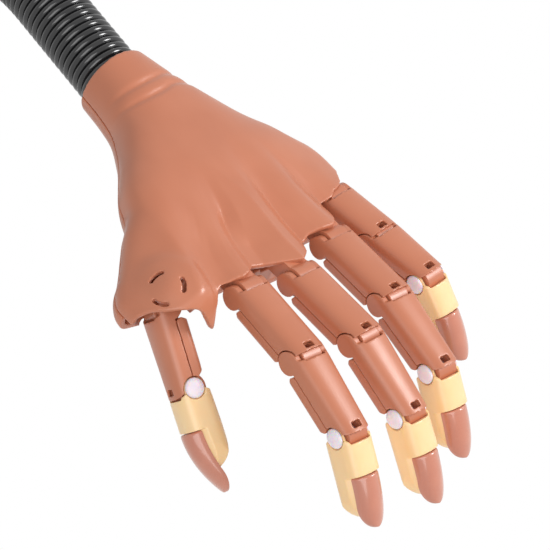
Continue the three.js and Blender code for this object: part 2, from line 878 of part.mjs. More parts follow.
// Room round a knuckle for the ears as the finger bends and spreads
function knuckleRoom(finger) {
  const half = fingerWidth / 2 + 3;
  const [low, high] = roofReach;
  const ahead = [
    [low, earRadius],
    [high, fingerTop],
    [high, reach],
    [15, reach],
    [15, earRadius],
  ];
  const room = joined(
    crossRod(earRadius + 0.6, 0, 0, -half, half, 14),
    crossRod(barrelRadius + seatGap, 0, 0, -half, half, 14),
    block(0, 15, -half, half, -reach, earRadius + 0.6),
    solid(pushed(ahead, 'xz', -half, half)),
  );
  return carried(room, knuckleMatrix(finger));
}

// Room for a link's eye and tongue over a spread at least as wide as its joint's range
function linkRoom({ hinge, yaw, roll, spread }) {
  const half = tongueWidth / 2 + runGap;
  const arm = block(0, swivelBack + barrelRadius, -half, half, -tongueUnder - seatGap, tongueTop + seatGap);
  const eye = post(eyeRadius + runGap, 0, 0, -eyeHalfHeight - seatGap, eyeHalfHeight + seatGap, 12);
  const swept = spread.map((angle) => arm.rotate([0, 0, angle]));
  return carried(joined(eye, ...swept).translate([-swivelBack, 0, 0]), knuckleMatrix({ hinge, yaw, roll }));
}

function roofBosses() {
  return fingers.map((finger) =>
    carried(post(bossRadius, -swivelBack, 0, eyeHalfHeight + seatGap, reach), knuckleMatrix(finger)),
  );
}

// Walls behind the knuckles, stepped with the palm shell's edge, with a slot for each link
function knuckleWall() {
  const thick = 2.4;
  const edge = palmEdge().slice(1);
  const walls = edge.slice(1).map(([x, y], i) => {
    const [x0, y0] = edge[i];
    const [near, far] = [min(y0, y) - thick / 2, max(y0, y) + thick / 2];
    return block(min(x0, x) - thick, max(x0, x) - seatGap, near, far, -reach, reach);
  });
  const half = tongueWidth / 2 + 2.8;
  const slots = fingers.map((finger) =>
    carried(block(-swivelBack - 2, 0, -half, half, -tongueUnder - 1, tongueTop + 0.8), knuckleMatrix(finger)),
  );
  return cut(joined(...walls), ...slots);
}

// Holes round every screw, a clearance wider than a radius, from below up to a height
function screwHoles(radius, top, sides) {
  return screwPlaces.map(([x, y]) => post(radius + seatGap, x, y, -reach, top, sides));
}

function handShells() {
  const outside = handForm(stations, 0);
  const inside = handForm(innerStations, shellWall, 2);
  const hollow = cut(outside, inside);
  const lining = handForm(innerStations, shellWall / 2, 2);
  const grip = block(...gripWall, -reach, reach, -reach, reach);
  const screws = screwPlaces.map(([x, y]) => post(screwBoss, x, y, -reach, reach, 10));
  const fittings = joined(grip, knuckleWall(), ...screws).intersect(lining);
  const rooms = [...fingers.map(knuckleRoom), ...fingers.map(linkRoom)];
  const core = cut(joined(hollow, fittings), hoseRoom(), ...rooms);
  const above = sideOfParting(1);
  const below = sideOfParting(-1);
  const shankHoles = screwHoles(screwShank, screwEnd + seatGap, 10);
  const headHoles = screwHoles(screwHead, screwSeat, 16);
  const palmCut = solid(pushed([...palmEdge(), [150, 60], [150, -80]], 'xy', -reach * 2, reach * 2));
  const swivels = swivelPosts().map((column) => column.intersect(lining));
  const bosses = roofBosses().map((column) => column.intersect(lining));
  const upper = joined(core.intersect(above), ...bosses, web(), dome().intersect(above));
  const back = cut(upper, ...shankHoles, ...domeSlots());
  const palm = cut(core.intersect(below), palmCut, ...shankHoles, ...headHoles);
  return {
    back: largest(cut(back, thumbRoom(), discRoom())),
    palm: largest(joined(cut(palm, thumbRoom()), ...swivels)),
  };
}

// Everything on one side of the parting line, which drops towards the thumb
function sideOfParting(side) {
  const line = [
    [80, 0],
    [-30, 0],
    [-45, -5],
    [-62, -13],
    [-80, -20],
  ];
  const edge = line.map(([y, drop]) => [y, partingHeight + drop + (side * seatGap) / 2]);
  const far = side * reach * 2;
  return solid(pushed([...edge, [-80, far], [80, far]], 'yz', -reach, 200));
}

// Room for the hose, the plug's flange and its tail
function hoseRoom() {
  return joined(
    wristRod(hoseRadius + runGap, -reach, plugFlange[0]),
    wristRod(plugRadius + seatGap, plugFlange[0] - 1, gripWall[0]),
    wristRod(plugBore + seatGap, plugFlange[0], gripWall[1] + 4),
  );
}

// Pointed web between the thumb and the index finger
function web() {
  const shape = new THREE.Shape();
  shape.moveTo(86, 4.4);
  shape.lineTo(97, 3.4);
  shape.quadraticCurveTo(101.4, 2.4, 102.4, -2);
  shape.lineTo(104.6, -8.5);
  shape.quadraticCurveTo(99.5, -6.5, 97, -2);
  shape.quadraticCurveTo(92, 0, 86, 0);
  const plan = [
    [86, -47],
    [96, -45],
    [105, -40.6],
    [105, -39.2],
    [97, -35.5],
    [86, -33],
  ];
  return solid(pushed(shape, 'xz', -47, -33, 6)).intersect(solid(pushed(plan, 'xy', -reach, reach)));
}

function dome() {
  const outline = [
    [0, -2],
    [domeRadius, -2],
    [domeRadius, 0],
    [domeRadius * 0.85, domeRise * 0.7],
    [0, domeRise],
  ];
  return solid(moved(turned(outline), domeMatrix));
}

function domeSlots() {
  const ring = (middle) => {
    const from = radians(middle - slotSpan / 2);
    const to = radians(middle + slotSpan / 2);
    const shape = new THREE.Shape();
    shape.absarc(0, 0, slotRingRadius + slotWidth / 2, from, to, false);
    shape.absarc(0, 0, slotRingRadius - slotWidth / 2, to, from, true);
    return solid(moved(pushed(shape, 'xy', -6, reach, 5), domeMatrix));
  };
  return [ring(58), ring(178), ring(298)];
}

// Room under the dome for the thumb base's disc
function discRoom() {
  return solid(moved(geometryOf(post(discRadius + 0.5, 0, 0, -reach, discTop + seatGap, 20)), domeMatrix));
}

// Room for the thumb's ears as they turn and swivel
function thumbRoom() {
  return solid(moved(new THREE.SphereGeometry(10.4, 14, 8), thumbMatrix));
}

// Gooseneck's middle line, in the upright plane of the arm, by distance from the wrist
const jawTop = padThickness + seatGap + upperJaw;
const hoseFoot = jawTop + seatGap + collarFloor + seatGap;
const riseAngle = radians(armRise);
const wristReach = straightAtWrist * cos(riseAngle) + bendRadius * sin(riseAngle) + bendRadius;
const bendRise = bendRadius * cos(riseAngle) - straightAtWrist * sin(riseAngle);
const handHeight = hoseFoot + straightAtBase + bendRise;
const bendLength = bendRadius * (PI / 2 + riseAngle);
const hoseLength = straightAtWrist + bendLength + straightAtBase;
const sectionLength = (hoseLength + hoseSeat) / hoseSections;

function hosePlace(s) {
  const centre = [
    wristReach - straightAtWrist * cos(riseAngle) - bendRadius * sin(riseAngle),
    handHeight + straightAtWrist * sin(riseAngle) - bendRadius * cos(riseAngle),
  ];
  const travelled = min(max(s - straightAtWrist, 0), bendLength);
  const angle = riseAngle - travelled / bendRadius;
  const ahead = new THREE.Vector3(-cos(angle), 0, sin(angle));
  const out = new THREE.Vector3(sin(angle), 0, cos(angle));
  const at = new THREE.Vector3(centre[0], 0, centre[1]).addScaledVector(out, bendRadius);
  at.addScaledVector(ahead, s - straightAtWrist - travelled);
  return { at, ahead, out, across: new THREE.Vector3(0, 1, 0) };
}

// Ring of points round the hose at a place, or square to a joint's place and a little way from it
function hoseRing(s, radius, away = 0) {
  const { at, ahead, out, across } = hosePlace(s);
  const centre = at.clone().addScaledVector(ahead, away);
  return Array.from({ length: hoseSides }, (_, k) => {
    const angle = (2 * PI * k) / hoseSides;
    const height = radius * cos(angle);
    return centre.clone().addScaledVector(out, height).addScaledVector(across, radius * sin(angle));
  });
}

const onBall = (radius, away) => sqrt(radius ** 2 - away ** 2);
const socketRadius = ballRadius + runGap;

// One length of the hose: a hollow nose at the wrist's end, ribs, and a socket at the clamp's end
function hoseSection(number) {
  const start = -hoseSeat + (hoseSections - number) * sectionLength;
  const end = start + sectionLength;
  const pitch = (sectionLength - 2 * endRibInset) / (ribsPerSection - 1);
  const ribs = Array.from({ length: ribsPerSection }, (_, k) => start + endRibInset + k * pitch);
  const rings = [];
  if (number === hoseSections) {
    rings.push(hoseRing(start, hoseBore), hoseRing(start, hoseGroove));
  } else {
    rings.push(hoseRing(start, hoseBore, -noseReach));
    const nose = [-noseReach, -faceInset, 0, faceInset];
    rings.push(...nose.map((away) => hoseRing(start, onBall(ballRadius, away), away)));
  }
  ribs.forEach((place, k) => {
    rings.push(hoseRing(place, hoseRadius));
    if (k < ribsPerSection - 1) rings.push(hoseRing(place + pitch / 2, hoseGroove));
  });
  if (number === 1) {
    rings.push(hoseRing(end, hoseGroove), hoseRing(end, hoseBore));
  } else {
    const socket = [faceInset, 4.4, socketDepth];
    rings.push(...socket.map((away) => hoseRing(end, onBall(socketRadius, away), -away)));
    rings.push(hoseRing(end, hoseBore, -socketDepth - 0.8));
  }
  const boreRings = Math.round(ribsPerSection / 5);
  for (let k = boreRings; k > 0; k -= 1) {
    rings.push(hoseRing(start + (sectionLength * k) / (boreRings + 1), hoseBore));
  }
  return closedRings(rings);
}

// Rings joined one to the next, and the last to the first
function closedRings(rings) {
  const count = rings[0].length;
  const index = [];
  rings.forEach((_, r) => {
    const next = ((r + 1) % rings.length) * count;
    for (let k = 0; k < count; k += 1) {
      const a = r * count + k;
      const b = r * count + ((k + 1) % count);
      const c = next + k;
      const d = next + ((k + 1) % count);
      index.push(a, b, c, b, d, c);
    }
  });
  return meshFrom(rings.flat(), index);
}

// Plug that the two shells grip: spigot in the hose, flange, and a tail through the grip wall
function wristPlug() {
  const spigotEnd = -12;
  return joined(
    wristRod(hoseSpigot, spigotEnd, plugFlange[0] + 1, 16),
    wristRod(plugRadius, ...plugFlange),
    wristRod(plugBore, plugFlange[1] - 1, gripWall[1] + 3, 16),
  );
}

function palmScrew(x, y) {
  const outline = [
    [0, screwSeat - seatGap - 2.2],
    [screwHead - 0.6, screwSeat - seatGap - 2.2],
    [screwHead, screwSeat - seatGap - 1.4],
    [screwHead, screwSeat - seatGap],
    [screwShank, screwSeat - seatGap],
    [screwShank, screwEnd - 1],
    [0, screwEnd],
  ];
  const slot = block(-reach, reach, -0.45, 0.45, -reach, screwSeat - seatGap - 1.3);
  const cross = block(-0.45, 0.45, -1.9, 1.9, -reach, screwSeat - seatGap - 1.3);
  const bounded = slot.intersect(post(1.9, 0, 0, -reach, reach, 10));
  return geometryOf(cut(solid(turned(outline, 8)), bounded, cross)).translate(x, y, 0);
}

// Thumb base: a disc under the dome, a stem that hangs behind the thumb's ears, and a tongue
function thumbBase() {
  const outline = [
    [0, discTop - discThickness],
    [discRadius, discTop - discThickness],
    [discRadius, discTop],
    [0, discTop],
  ];
  const disc = solid(moved(turned(outline, 20), domeMatrix));
  const hinge = new THREE.Vector3(...thumb.hinge).applyMatrix4(domeMatrix.clone().invert());
  const column = block(-discRadius, -stemFront, -4.5, 3.5, hinge.z, discTop - 1);
  const stem = carried(column.intersect(post(discRadius, 0, 0, -reach, reach, 20)), domeMatrix);
  const inner = tongueWidth / 2;
  const free = carried(
    joined(
      crossRod(earRadius + 1.2, 0, 0, inner, reach, 16),
      crossRod(earRadius + 1.2, 0, 0, -reach, -inner, 16),
      block(0, reach, -reach, -inner, -reach, reach),
      block(0, reach, inner, inner + 4, -reach, reach),
    ),
    thumbMatrix,
  );
  return joined(cut(joined(disc, stem), free), carried(joined(tongue(0, 7.6), trunnions(0)), thumbMatrix));
}

function clampFrame() {
  const half = clampWidth / 2;
  const under = padThickness + seatGap;
  const floor = under - jawOpening;
  const outline = new THREE.Shape();
  outline.moveTo(jawDepth, jawTop);
  outline.lineTo(clampBack + 5, jawTop);
  outline.quadraticCurveTo(clampBack, jawTop, clampBack, jawTop - 5);
  outline.lineTo(clampBack, floor - lowerJaw + 5);
  outline.quadraticCurveTo(clampBack, floor - lowerJaw, clampBack + 5, floor - lowerJaw);
  outline.lineTo(screwRadius + 9, floor - lowerJaw);
  outline.lineTo(screwRadius + 9, floor);
  outline.lineTo(clampBack + clampSpine + 3, floor);
  outline.quadraticCurveTo(clampBack + clampSpine, floor, clampBack + clampSpine, floor + 3);
  outline.lineTo(clampBack + clampSpine, under - 3);
  outline.quadraticCurveTo(clampBack + clampSpine, under, clampBack + clampSpine + 3, under);
  outline.lineTo(jawDepth, under);
  const frame = solid(pushed(outline, 'xz', -half, half, 5));
  const screwBore = post(screwRadius + seatGap, 0, 0, floor - lowerJaw - 1, floor + 1, 20);
  const collarBore = post(collarStub + seatGap, 0, 0, jawTop - 8, jawTop + 1, 20);
  return cut(frame, screwBore, collarBore);
}

// Collar that the hose stands in, with a spigot in the hose's bore and a stub in the frame
function baseCollar() {
  const foot = jawTop + seatGap;
  const bore = hoseRadius + runGap;
  return turned(
    [
      [0, jawTop - 7],
      [collarStub, jawTop - 7],
      [collarStub, foot],
      [collarRadius, foot],
      [collarRadius, foot + collarHeight - 1.5],
      [collarRadius - 1.5, foot + collarHeight],
      [bore, foot + collarHeight],
      [bore, foot + collarFloor],
      [hoseSpigot, foot + collarFloor],
      [hoseSpigot, foot + collarHeight + 4],
      [0, foot + collarHeight + 5],
    ],
    18,
  );
}

function jawPad() {
  const half = clampWidth / 2;
  return block(clampBack + clampSpine + 5, jawDepth, -half, half, 0, padThickness);
}

function pressurePad() {
  const top = -tableRoom;
  return turned(
    [
      [0, top],
      [pressurePadRadius, top],
      [pressurePadRadius, top - pressurePadHeight * 0.5],
      [pressurePadRadius - 4, top - pressurePadHeight],
      [screwRadius - 1 + seatGap, top - pressurePadHeight],
      [screwRadius - 1 + seatGap, top - 2.4],
      [0, top - 2.4],
    ],
    18,
  );
}

function clampScrew() {
  return turned(
    [
      [0, screwFoot - knobHeight + 3],
      [screwRadius - 1, screwFoot - knobHeight + 3],
      [screwRadius - 1, screwFoot - 0.5],
      [screwRadius, screwFoot - 0.5],
      [screwRadius, -tableRoom - pressurePadHeight - 0.4],
      [screwRadius - 1, -tableRoom - pressurePadHeight - 0.4],
      [screwRadius - 1, -tableRoom - 2.4 - seatGap],
      [0, -tableRoom - 2.4 - seatGap],
    ],
    14,
  );
}

// Knob with lobes, bored for the screw's end
function clampKnob() {
  const lobes = 6;
  const steps = 36;
  const rim = Array.from({ length: steps }, (_, k) => {
    const angle = (2 * PI * k) / steps;
    const radius = knobRadius - 1.6 + 1.6 * cos(lobes * angle);
    return [radius * cos(angle), radius * sin(angle)];
  });
  const body = solid(pushed(rim, 'xy', screwFoot - knobHeight, screwFoot - 0.8));
  return cut(body, post(screwRadius - 1 + seatGap, 0, 0, screwFoot - knobHeight + 3 - seatGap, reach, 20));
}

function buildClamp(model) {
  piece(model, 'clamp_frame', clampFrame(), clampMetal());
  piece(model, 'jaw_pad', jawPad(), padRubber());
  piece(model, 'pressure_pad', pressurePad(), clampMetal());
  piece(model, 'clamp_screw', clampScrew(), screwMetal());
  piece(model, 'clamp_knob', clampKnob(), hosePlastic());
  piece(model, 'base_collar', baseCollar(), clampMetal());
}

function buildHose(arm) {
  for (let number = 1; number <= hoseSections; number += 1) {
    piece(arm, `hose_${number}`, hoseSection(number), hosePlastic());
  }
}

function buildHand(arm) {
  const hand = joint(arm, wristReach, 0, handHeight);
  hand.rotation.z = -radians(armYaw);
  const shells = handShells();
  piece(hand, 'wrist_plug', wristPlug(), hosePlastic());
  piece(hand, 'back_shell', shells.back, brownPlastic());
  piece(hand, 'palm_shell', shells.palm, brownPlastic());
  screwPlaces.forEach(([x, y], k) => piece(hand, `palm_screw_${k + 1}`, palmScrew(x, y), screwMetal()));
  fingers.forEach((finger) => buildFinger(hand, finger));
  buildThumb(hand);
}

function buildThumb(hand) {
  piece(hand, 'thumb_base', thumbBase(), brownPlastic());
  const segment = new THREE.Group();
  segment.applyMatrix4(thumbMatrix);
  hand.add(segment);
  piece(segment, 'thumb_shell', phalanxShell(thumb.length, true), brownPlastic());
  piece(segment, 'thumb_core', phalanxCore(thumb.length, true), brownPlastic());
  buildTip(joint(segment, thumb.length), 'thumb', thumb.bend, thumbNail);
}

const model = new THREE.Group();
buildClamp(model);
const arm = joint(model);
arm.rotation.z = radians(armYaw);
buildHose(arm);
buildHand(arm);

export default model;
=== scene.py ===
"""Nail practice hand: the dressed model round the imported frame.

Shapes are worked out in millimetres and handed over in metres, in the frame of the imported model.
Z is up, X runs from the wrist to the fingertips and Y towards the little finger.
"""

from __future__ import annotations

import logging
import math
from collections.abc import Callable, Sequence
from dataclasses import dataclass, field
from enum import Enum

import bmesh
import bpy
from mathutils import Matrix, Vector

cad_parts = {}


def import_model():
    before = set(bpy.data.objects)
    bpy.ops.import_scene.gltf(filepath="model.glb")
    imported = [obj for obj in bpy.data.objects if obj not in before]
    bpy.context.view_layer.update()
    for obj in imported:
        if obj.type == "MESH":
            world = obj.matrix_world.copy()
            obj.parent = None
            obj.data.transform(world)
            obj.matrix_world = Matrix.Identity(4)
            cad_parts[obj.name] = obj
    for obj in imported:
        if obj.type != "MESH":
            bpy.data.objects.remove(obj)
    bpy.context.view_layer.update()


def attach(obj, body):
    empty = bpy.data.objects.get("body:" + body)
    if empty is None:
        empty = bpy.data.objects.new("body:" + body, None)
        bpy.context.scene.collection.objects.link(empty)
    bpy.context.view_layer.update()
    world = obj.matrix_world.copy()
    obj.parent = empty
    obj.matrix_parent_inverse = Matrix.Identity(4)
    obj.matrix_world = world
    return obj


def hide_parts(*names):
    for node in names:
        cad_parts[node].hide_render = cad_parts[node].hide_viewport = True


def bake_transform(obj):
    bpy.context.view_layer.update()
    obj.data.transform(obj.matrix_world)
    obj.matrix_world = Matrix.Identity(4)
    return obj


log = logging.getLogger("practice_hand")

MM = 0.001
SAME_POINT = 1e-4
Point = tuple[float, float]
Triple = tuple[float, float, float]
Pairs = Sequence[Point]


class Plane(Enum):
    """Plane that an outline is drawn in: its two drawing axes and the axis that it is pushed along."""

    XY = (0, 1, 2)
    XZ = (0, 2, 1)
    YZ = (1, 2, 0)


class Axis(Enum):
    """Direction of a rod or of a turn's axis."""

    X = 0
    Y = 1
    Z = 2


class Operation(Enum):
    """What a shape does with another one."""

    JOIN = "UNION"
    CUT = "DIFFERENCE"
    KEEP = "INTERSECT"


def turn(angle: float, axis: Axis) -> Matrix:
    """Rotation about an axis by an angle in degrees."""
    return Matrix.Rotation(math.radians(angle), 4, axis.name)


def round_angles(sides: int) -> list[float]:
    """Angles of a ring's points in radians."""
    return [2 * math.pi * k / sides for k in range(sides)]


def shift(x: float = 0.0, y: float = 0.0, z: float = 0.0) -> Matrix:
    """Move by a distance in millimetres."""
    return Matrix.Translation((x, y, z))


def smooth_step(start: float, end: float, at: float) -> float:
    """Ease from 0 at start to 1 at end."""
    share = min(max((at - start) / (end - start), 0.0), 1.0)
    return share * share * (3 - 2 * share)


def along(pairs: Pairs, at: float) -> float:
    """Smooth value between pairs of place and value.

    Args:
        pairs: Places in rising order, each with its value.
        at: Place to read; it is held inside the list.

    Returns:
        The value there, on a curve through every pair.
    """
    last = len(pairs) - 1
    place = min(max(at, pairs[0][0]), pairs[last][0])
    i = 0
    while i < last - 1 and place > pairs[i + 1][0]:
        i += 1

    def slope(k: int) -> float:
        """Slope of the curve at one of the pairs."""
        before, after = pairs[max(k - 1, 0)], pairs[min(k + 1, last)]
        return (after[1] - before[1]) / (after[0] - before[0])

    (x0, y0), (x1, y1) = pairs[i], pairs[i + 1]
    step = x1 - x0
    u = (place - x0) / step
    lean = u * (1 - u) * step
    return y0 + (y1 - y0) * u * u * (3 - 2 * u) + lean * ((1 - u) * slope(i) - u * slope(i + 1))


@dataclass
class Outline:
    """Closed outline, drawn point by point like a pen on paper."""

    points: list[Point] = field(default_factory=list)
    steps: int = 12

    def to(self, *places: Point) -> Outline:
        """Draw straight to each place in turn."""
        self.points.extend(places)
        return self

    def curve(self, control: Point, end: Point) -> Outline:
        """Draw a curve that leaves towards a control place and arrives from it.

        Args:
            control: Place that both tangents point at.
            end: Where the curve ends.

        Returns:
            The same outline.
        """
        x0, y0 = self.points[-1]
        for k in range(1, self.steps + 1):
            u = k / self.steps
            a, b, c = (1 - u) ** 2, 2 * u * (1 - u), u * u
            self.points.append((a * x0 + b * control[0] + c * end[0], a * y0 + b * control[1] + c * end[1]))
        return self

    def arc(self, centre: Point, radius: float, start: float, end: float) -> Outline:
        """Draw an arc.

        Args:
            centre: Middle of the arc.
            radius: Its radius.
            start: Angle that it starts at, in degrees.
            end: Angle that it ends at, larger than start to turn left.

        Returns:
            The same outline.
        """
        count = max(2, round(abs(end - start) / 90 * self.steps))
        for k in range(count + 1):
            angle = math.radians(start + (end - start) * k / count)
            self.points.append((centre[0] + radius * math.cos(angle), centre[1] + radius * math.sin(angle)))
        return self

    def clean(self) -> list[Point]:
        """Outline without repeated points."""
        kept: list[Point] = []
        for p in self.points:
            if not kept or math.dist(p, kept[-1]) > SAME_POINT:
                kept.append(p)
        if math.dist(kept[0], kept[-1]) < SAME_POINT:
            kept.pop()
        return kept


class Work:
    """A closed shape being worked on, in millimetres."""

    def __init__(self, data: bpy.types.Mesh) -> None:
        """Take over mesh data."""
        self.obj = bpy.data.objects.new("work", data)
        bpy.context.scene.collection.objects.link(self.obj)

    @classmethod
    def drawn(cls, mesh: bmesh.types.BMesh) -> Work:
        """Take over a mesh as it is drawn."""
        data = bpy.data.meshes.new("work")
        mesh.to_mesh(data)
        mesh.free()
        return cls(data)

    @classmethod
    def closed(cls, mesh: bmesh.types.BMesh) -> Work:
        """Take over closed faces that face either way."""
        bmesh.ops.remove_doubles(mesh, verts=mesh.verts, dist=SAME_POINT)
        bmesh.ops.recalc_face_normals(mesh, faces=mesh.faces)
        return cls.drawn(mesh)

    @classmethod
    def prism(cls, outline: Outline | Sequence[Point], plane: Plane, low: float, high: float) -> Work:
        """Push an outline along the axis that its plane leaves out.

        Args:
            outline: Closed outline.
            plane: Plane that it is drawn in.
            low: Where the solid starts on that axis.
            high: Where it ends.

        Returns:
            The solid.
        """
        points = outline.clean() if isinstance(outline, Outline) else list(outline)
        first, second, third = plane.value
        mesh = bmesh.new()
        rings = []
        for level in (low, high):
            ring = []
            for u, v in points:
                place = [0.0, 0.0, 0.0]
                place[first], place[second], place[third] = u, v, level
                ring.append(mesh.verts.new(place))
            rings.append(ring)
        for ring in rings:
            mesh.faces.new(ring)
        count = len(points)
        for k in range(count):
            n = (k + 1) % count
            mesh.faces.new((rings[0][k], rings[0][n], rings[1][n], rings[1][k]))
        return cls.closed(mesh)

    @classmethod
    def block(cls, x: Point, y: Point, z: Point) -> Work:
        """Block between two values on each axis."""
        return cls.prism([(x[0], y[0]), (x[1], y[0]), (x[1], y[1]), (x[0], y[1])], Plane.XY, *z)

    @classmethod
    def rod(cls, axis: Axis, radius: float, span: Point, centre: Point = (0.0, 0.0)) -> Work:
        """Round rod of 48 facets.

        Args:
            axis: Direction of the rod.
            radius: Its radius.
            span: Where it starts and ends.
            centre: Its place on the two other axes, in X, Y, Z order.

        Returns:
            The solid.
        """
        ring = Outline().arc(centre, radius, 0, 360)
        plane = {Axis.X: Plane.YZ, Axis.Y: Plane.XZ, Axis.Z: Plane.XY}[axis]
        return cls.prism(ring, plane, *span)

    @classmethod
    def turned(cls, profile: Sequence[Point], sides: int = 64, axis: Axis = Axis.Z) -> Work:
        """Turn a profile of radius and height about an axis.

        Args:
            profile: Points from the axis, round the outside and back to the axis.
            sides: Number of facets.
            axis: Axis that it turns about.

        Returns:
            The solid.
        """
        mesh = bmesh.new()
        rings = []
        for radius, height in profile:
            if radius < SAME_POINT:
                rings.append([mesh.verts.new((0, 0, height))])
                continue
            ring = [(radius * math.cos(a), radius * math.sin(a), height) for a in round_angles(sides)]
            rings.append([mesh.verts.new(point) for point in ring])
        for lower, upper in zip(rings, rings[1:]):
            below, above = len(lower), len(upper)
            for k in range(sides):
                n = (k + 1) % sides
                corners = [lower[k % below], lower[n % below], upper[n % above], upper[k % above]]
                unique = list(dict.fromkeys(corners))
                if len(unique) > 2:
                    mesh.faces.new(unique)
        work = cls.closed(mesh)
        if axis is Axis.Y:
            work.obj.data.transform(turn(-90, Axis.X))
        if axis is Axis.X:
            work.obj.data.transform(turn(90, Axis.Y))
        return work

    @classmethod
    def loft(cls, rings: Sequence[Sequence[Vector]], closed: bool = False) -> Work:
        """Join closed rings of points one to the next.

        Args:
            rings: Rings with the same number of points.
            closed: True joins the last ring to the first; False caps both ends.

        Returns:
            The solid.
        """
        mesh = bmesh.new()
        made = [[mesh.verts.new(p) for p in ring] for ring in rings]
        count = len(made[0])
        pairs = list(zip(made, made[1:]))
        if closed:
            pairs.append((made[-1], made[0]))
        else:
            mesh.faces.new(made[0])
            mesh.faces.new(made[-1])
        for lower, upper in pairs:
            for k in range(count):
                n = (k + 1) % count
                mesh.faces.new((lower[k], lower[n], upper[n], upper[k]))
        return cls.closed(mesh)

    def placed(self, matrix: Matrix) -> Work:
        """Move the shape and return it."""
        self.obj.data.transform(matrix)
        return self

    def copy(self) -> Work:
        """Second shape of the same form."""
        return Work(self.obj.data.copy())

    def settle(self) -> Work:
        """Turn what the modifiers make into the shape's own mesh."""
        graph = bpy.context.evaluated_depsgraph_get()
        graph.update()
        made = bpy.data.meshes.new_from_object(self.obj.evaluated_get(graph))
        old = self.obj.data
        self.obj.modifiers.clear()
        self.obj.data = made
        bpy.data.meshes.remove(old)
        return self

    def combine(self, operation: Operation, tools: Sequence[Work]) -> Work:
        """Join, cut or keep with other shapes, which are used up.

        Args:
            operation: What is done with each of them.
            tools: The other shapes.

        Returns:
            The same shape, changed.
        """
        for tool in tools:
            step = self.obj.modifiers.new("step", "BOOLEAN")
            step.operation = operation.value
            step.solver = "EXACT"
            step.object = tool.obj
        self.settle()
        for tool in tools:
            bpy.data.objects.remove(tool.obj)
        return self

    def cut(self, *tools: Work) -> Work:
        """Take the tools' shapes away."""
        return self.combine(Operation.CUT, tools)

    def join(self, *tools: Work) -> Work:
        """Add the tools' shapes."""
        return self.combine(Operation.JOIN, tools)

    def keep(self, *tools: Work) -> Work:
        """Keep only what lies inside every tool."""
        return self.combine(Operation.KEEP, tools)

    def whole(self, grain: float) -> Work:
        """Make the shape anew as one closed skin of even facets, which cuts cleanly.

        Args:
            grain: Size of the facets in millimetres.

        Returns:
            The same shape, changed.
        """
        remesh = self.obj.modifiers.new("grain", "REMESH")
        remesh.mode = "VOXEL"
        remesh.voxel_size = grain
        return self.settle()

    def moulded(self, grain: float, rounds: int = 3, share: float = 0.5) -> Work:
        """Give the shape the softly broken edges of a moulding.

        Args:
            grain: Size of the facets in millimetres.
            rounds: How often the surface is relaxed.
            share: Share of the facets that is kept at the end.

        Returns:
            The same shape, changed.
        """
        self.whole(grain * (1))
        relax = self.obj.modifiers.new("relax", "SMOOTH")
        relax.factor = 0.5
        relax.iterations = rounds
        if share < 1:
            thin = self.obj.modifiers.new("thin", "DECIMATE")
            thin.ratio = share
        return self.settle()

    def broken_edges(self, width: float, segments: int = 2, angle: float = 32) -> Work:
        """Round every sharp edge.

        Args:
            width: Width of the rounding in millimetres.
            segments: Facets across it.
            angle: Edges sharper than this many degrees are rounded.

        Returns:
            The same shape, changed.
        """
        bevel = self.obj.modifiers.new("edges", "BEVEL")
        bevel.width = width
        bevel.segments = segments
        bevel.limit_method = "ANGLE"
        bevel.angle_limit = math.radians(angle)
        return self.settle()


def linear(code: str) -> tuple[float, float, float, float]:
    """Linear colour from an sRGB hex value.

    Args:
        code: Six hex digits.

    Returns:
        Red, green, blue and an alpha of 1.
    """
    values = [int(code[k : k + 2], 16) / 255 for k in (0, 2, 4)]
    return (*(v / 12.92 if v <= 0.04045 else ((v + 0.055) / 1.055) ** 2.4 for v in values), 1.0)


def add(
    tree: bpy.types.NodeTree, kind: str, links: dict[str | int, object] | None = None, **settings: object
) -> bpy.types.Node:
    """Add a node with its settings and links.

    Args:
        tree: Tree that the node goes into.
        kind: Name of the node's type, without ShaderNode.
        links: Value, colour or output socket for each input, by name or number.
        **settings: Attributes of the node.

    Returns:
        The node.
    """
    made = tree.nodes.new("ShaderNode" + kind)
    for name, value in settings.items():
        setattr(made, name, value)
    for name, value in (links or {}).items():
        if isinstance(value, bpy.types.NodeSocket):
            tree.links.new(value, made.inputs[name])
        else:
            made.inputs[name].default_value = value
    return made


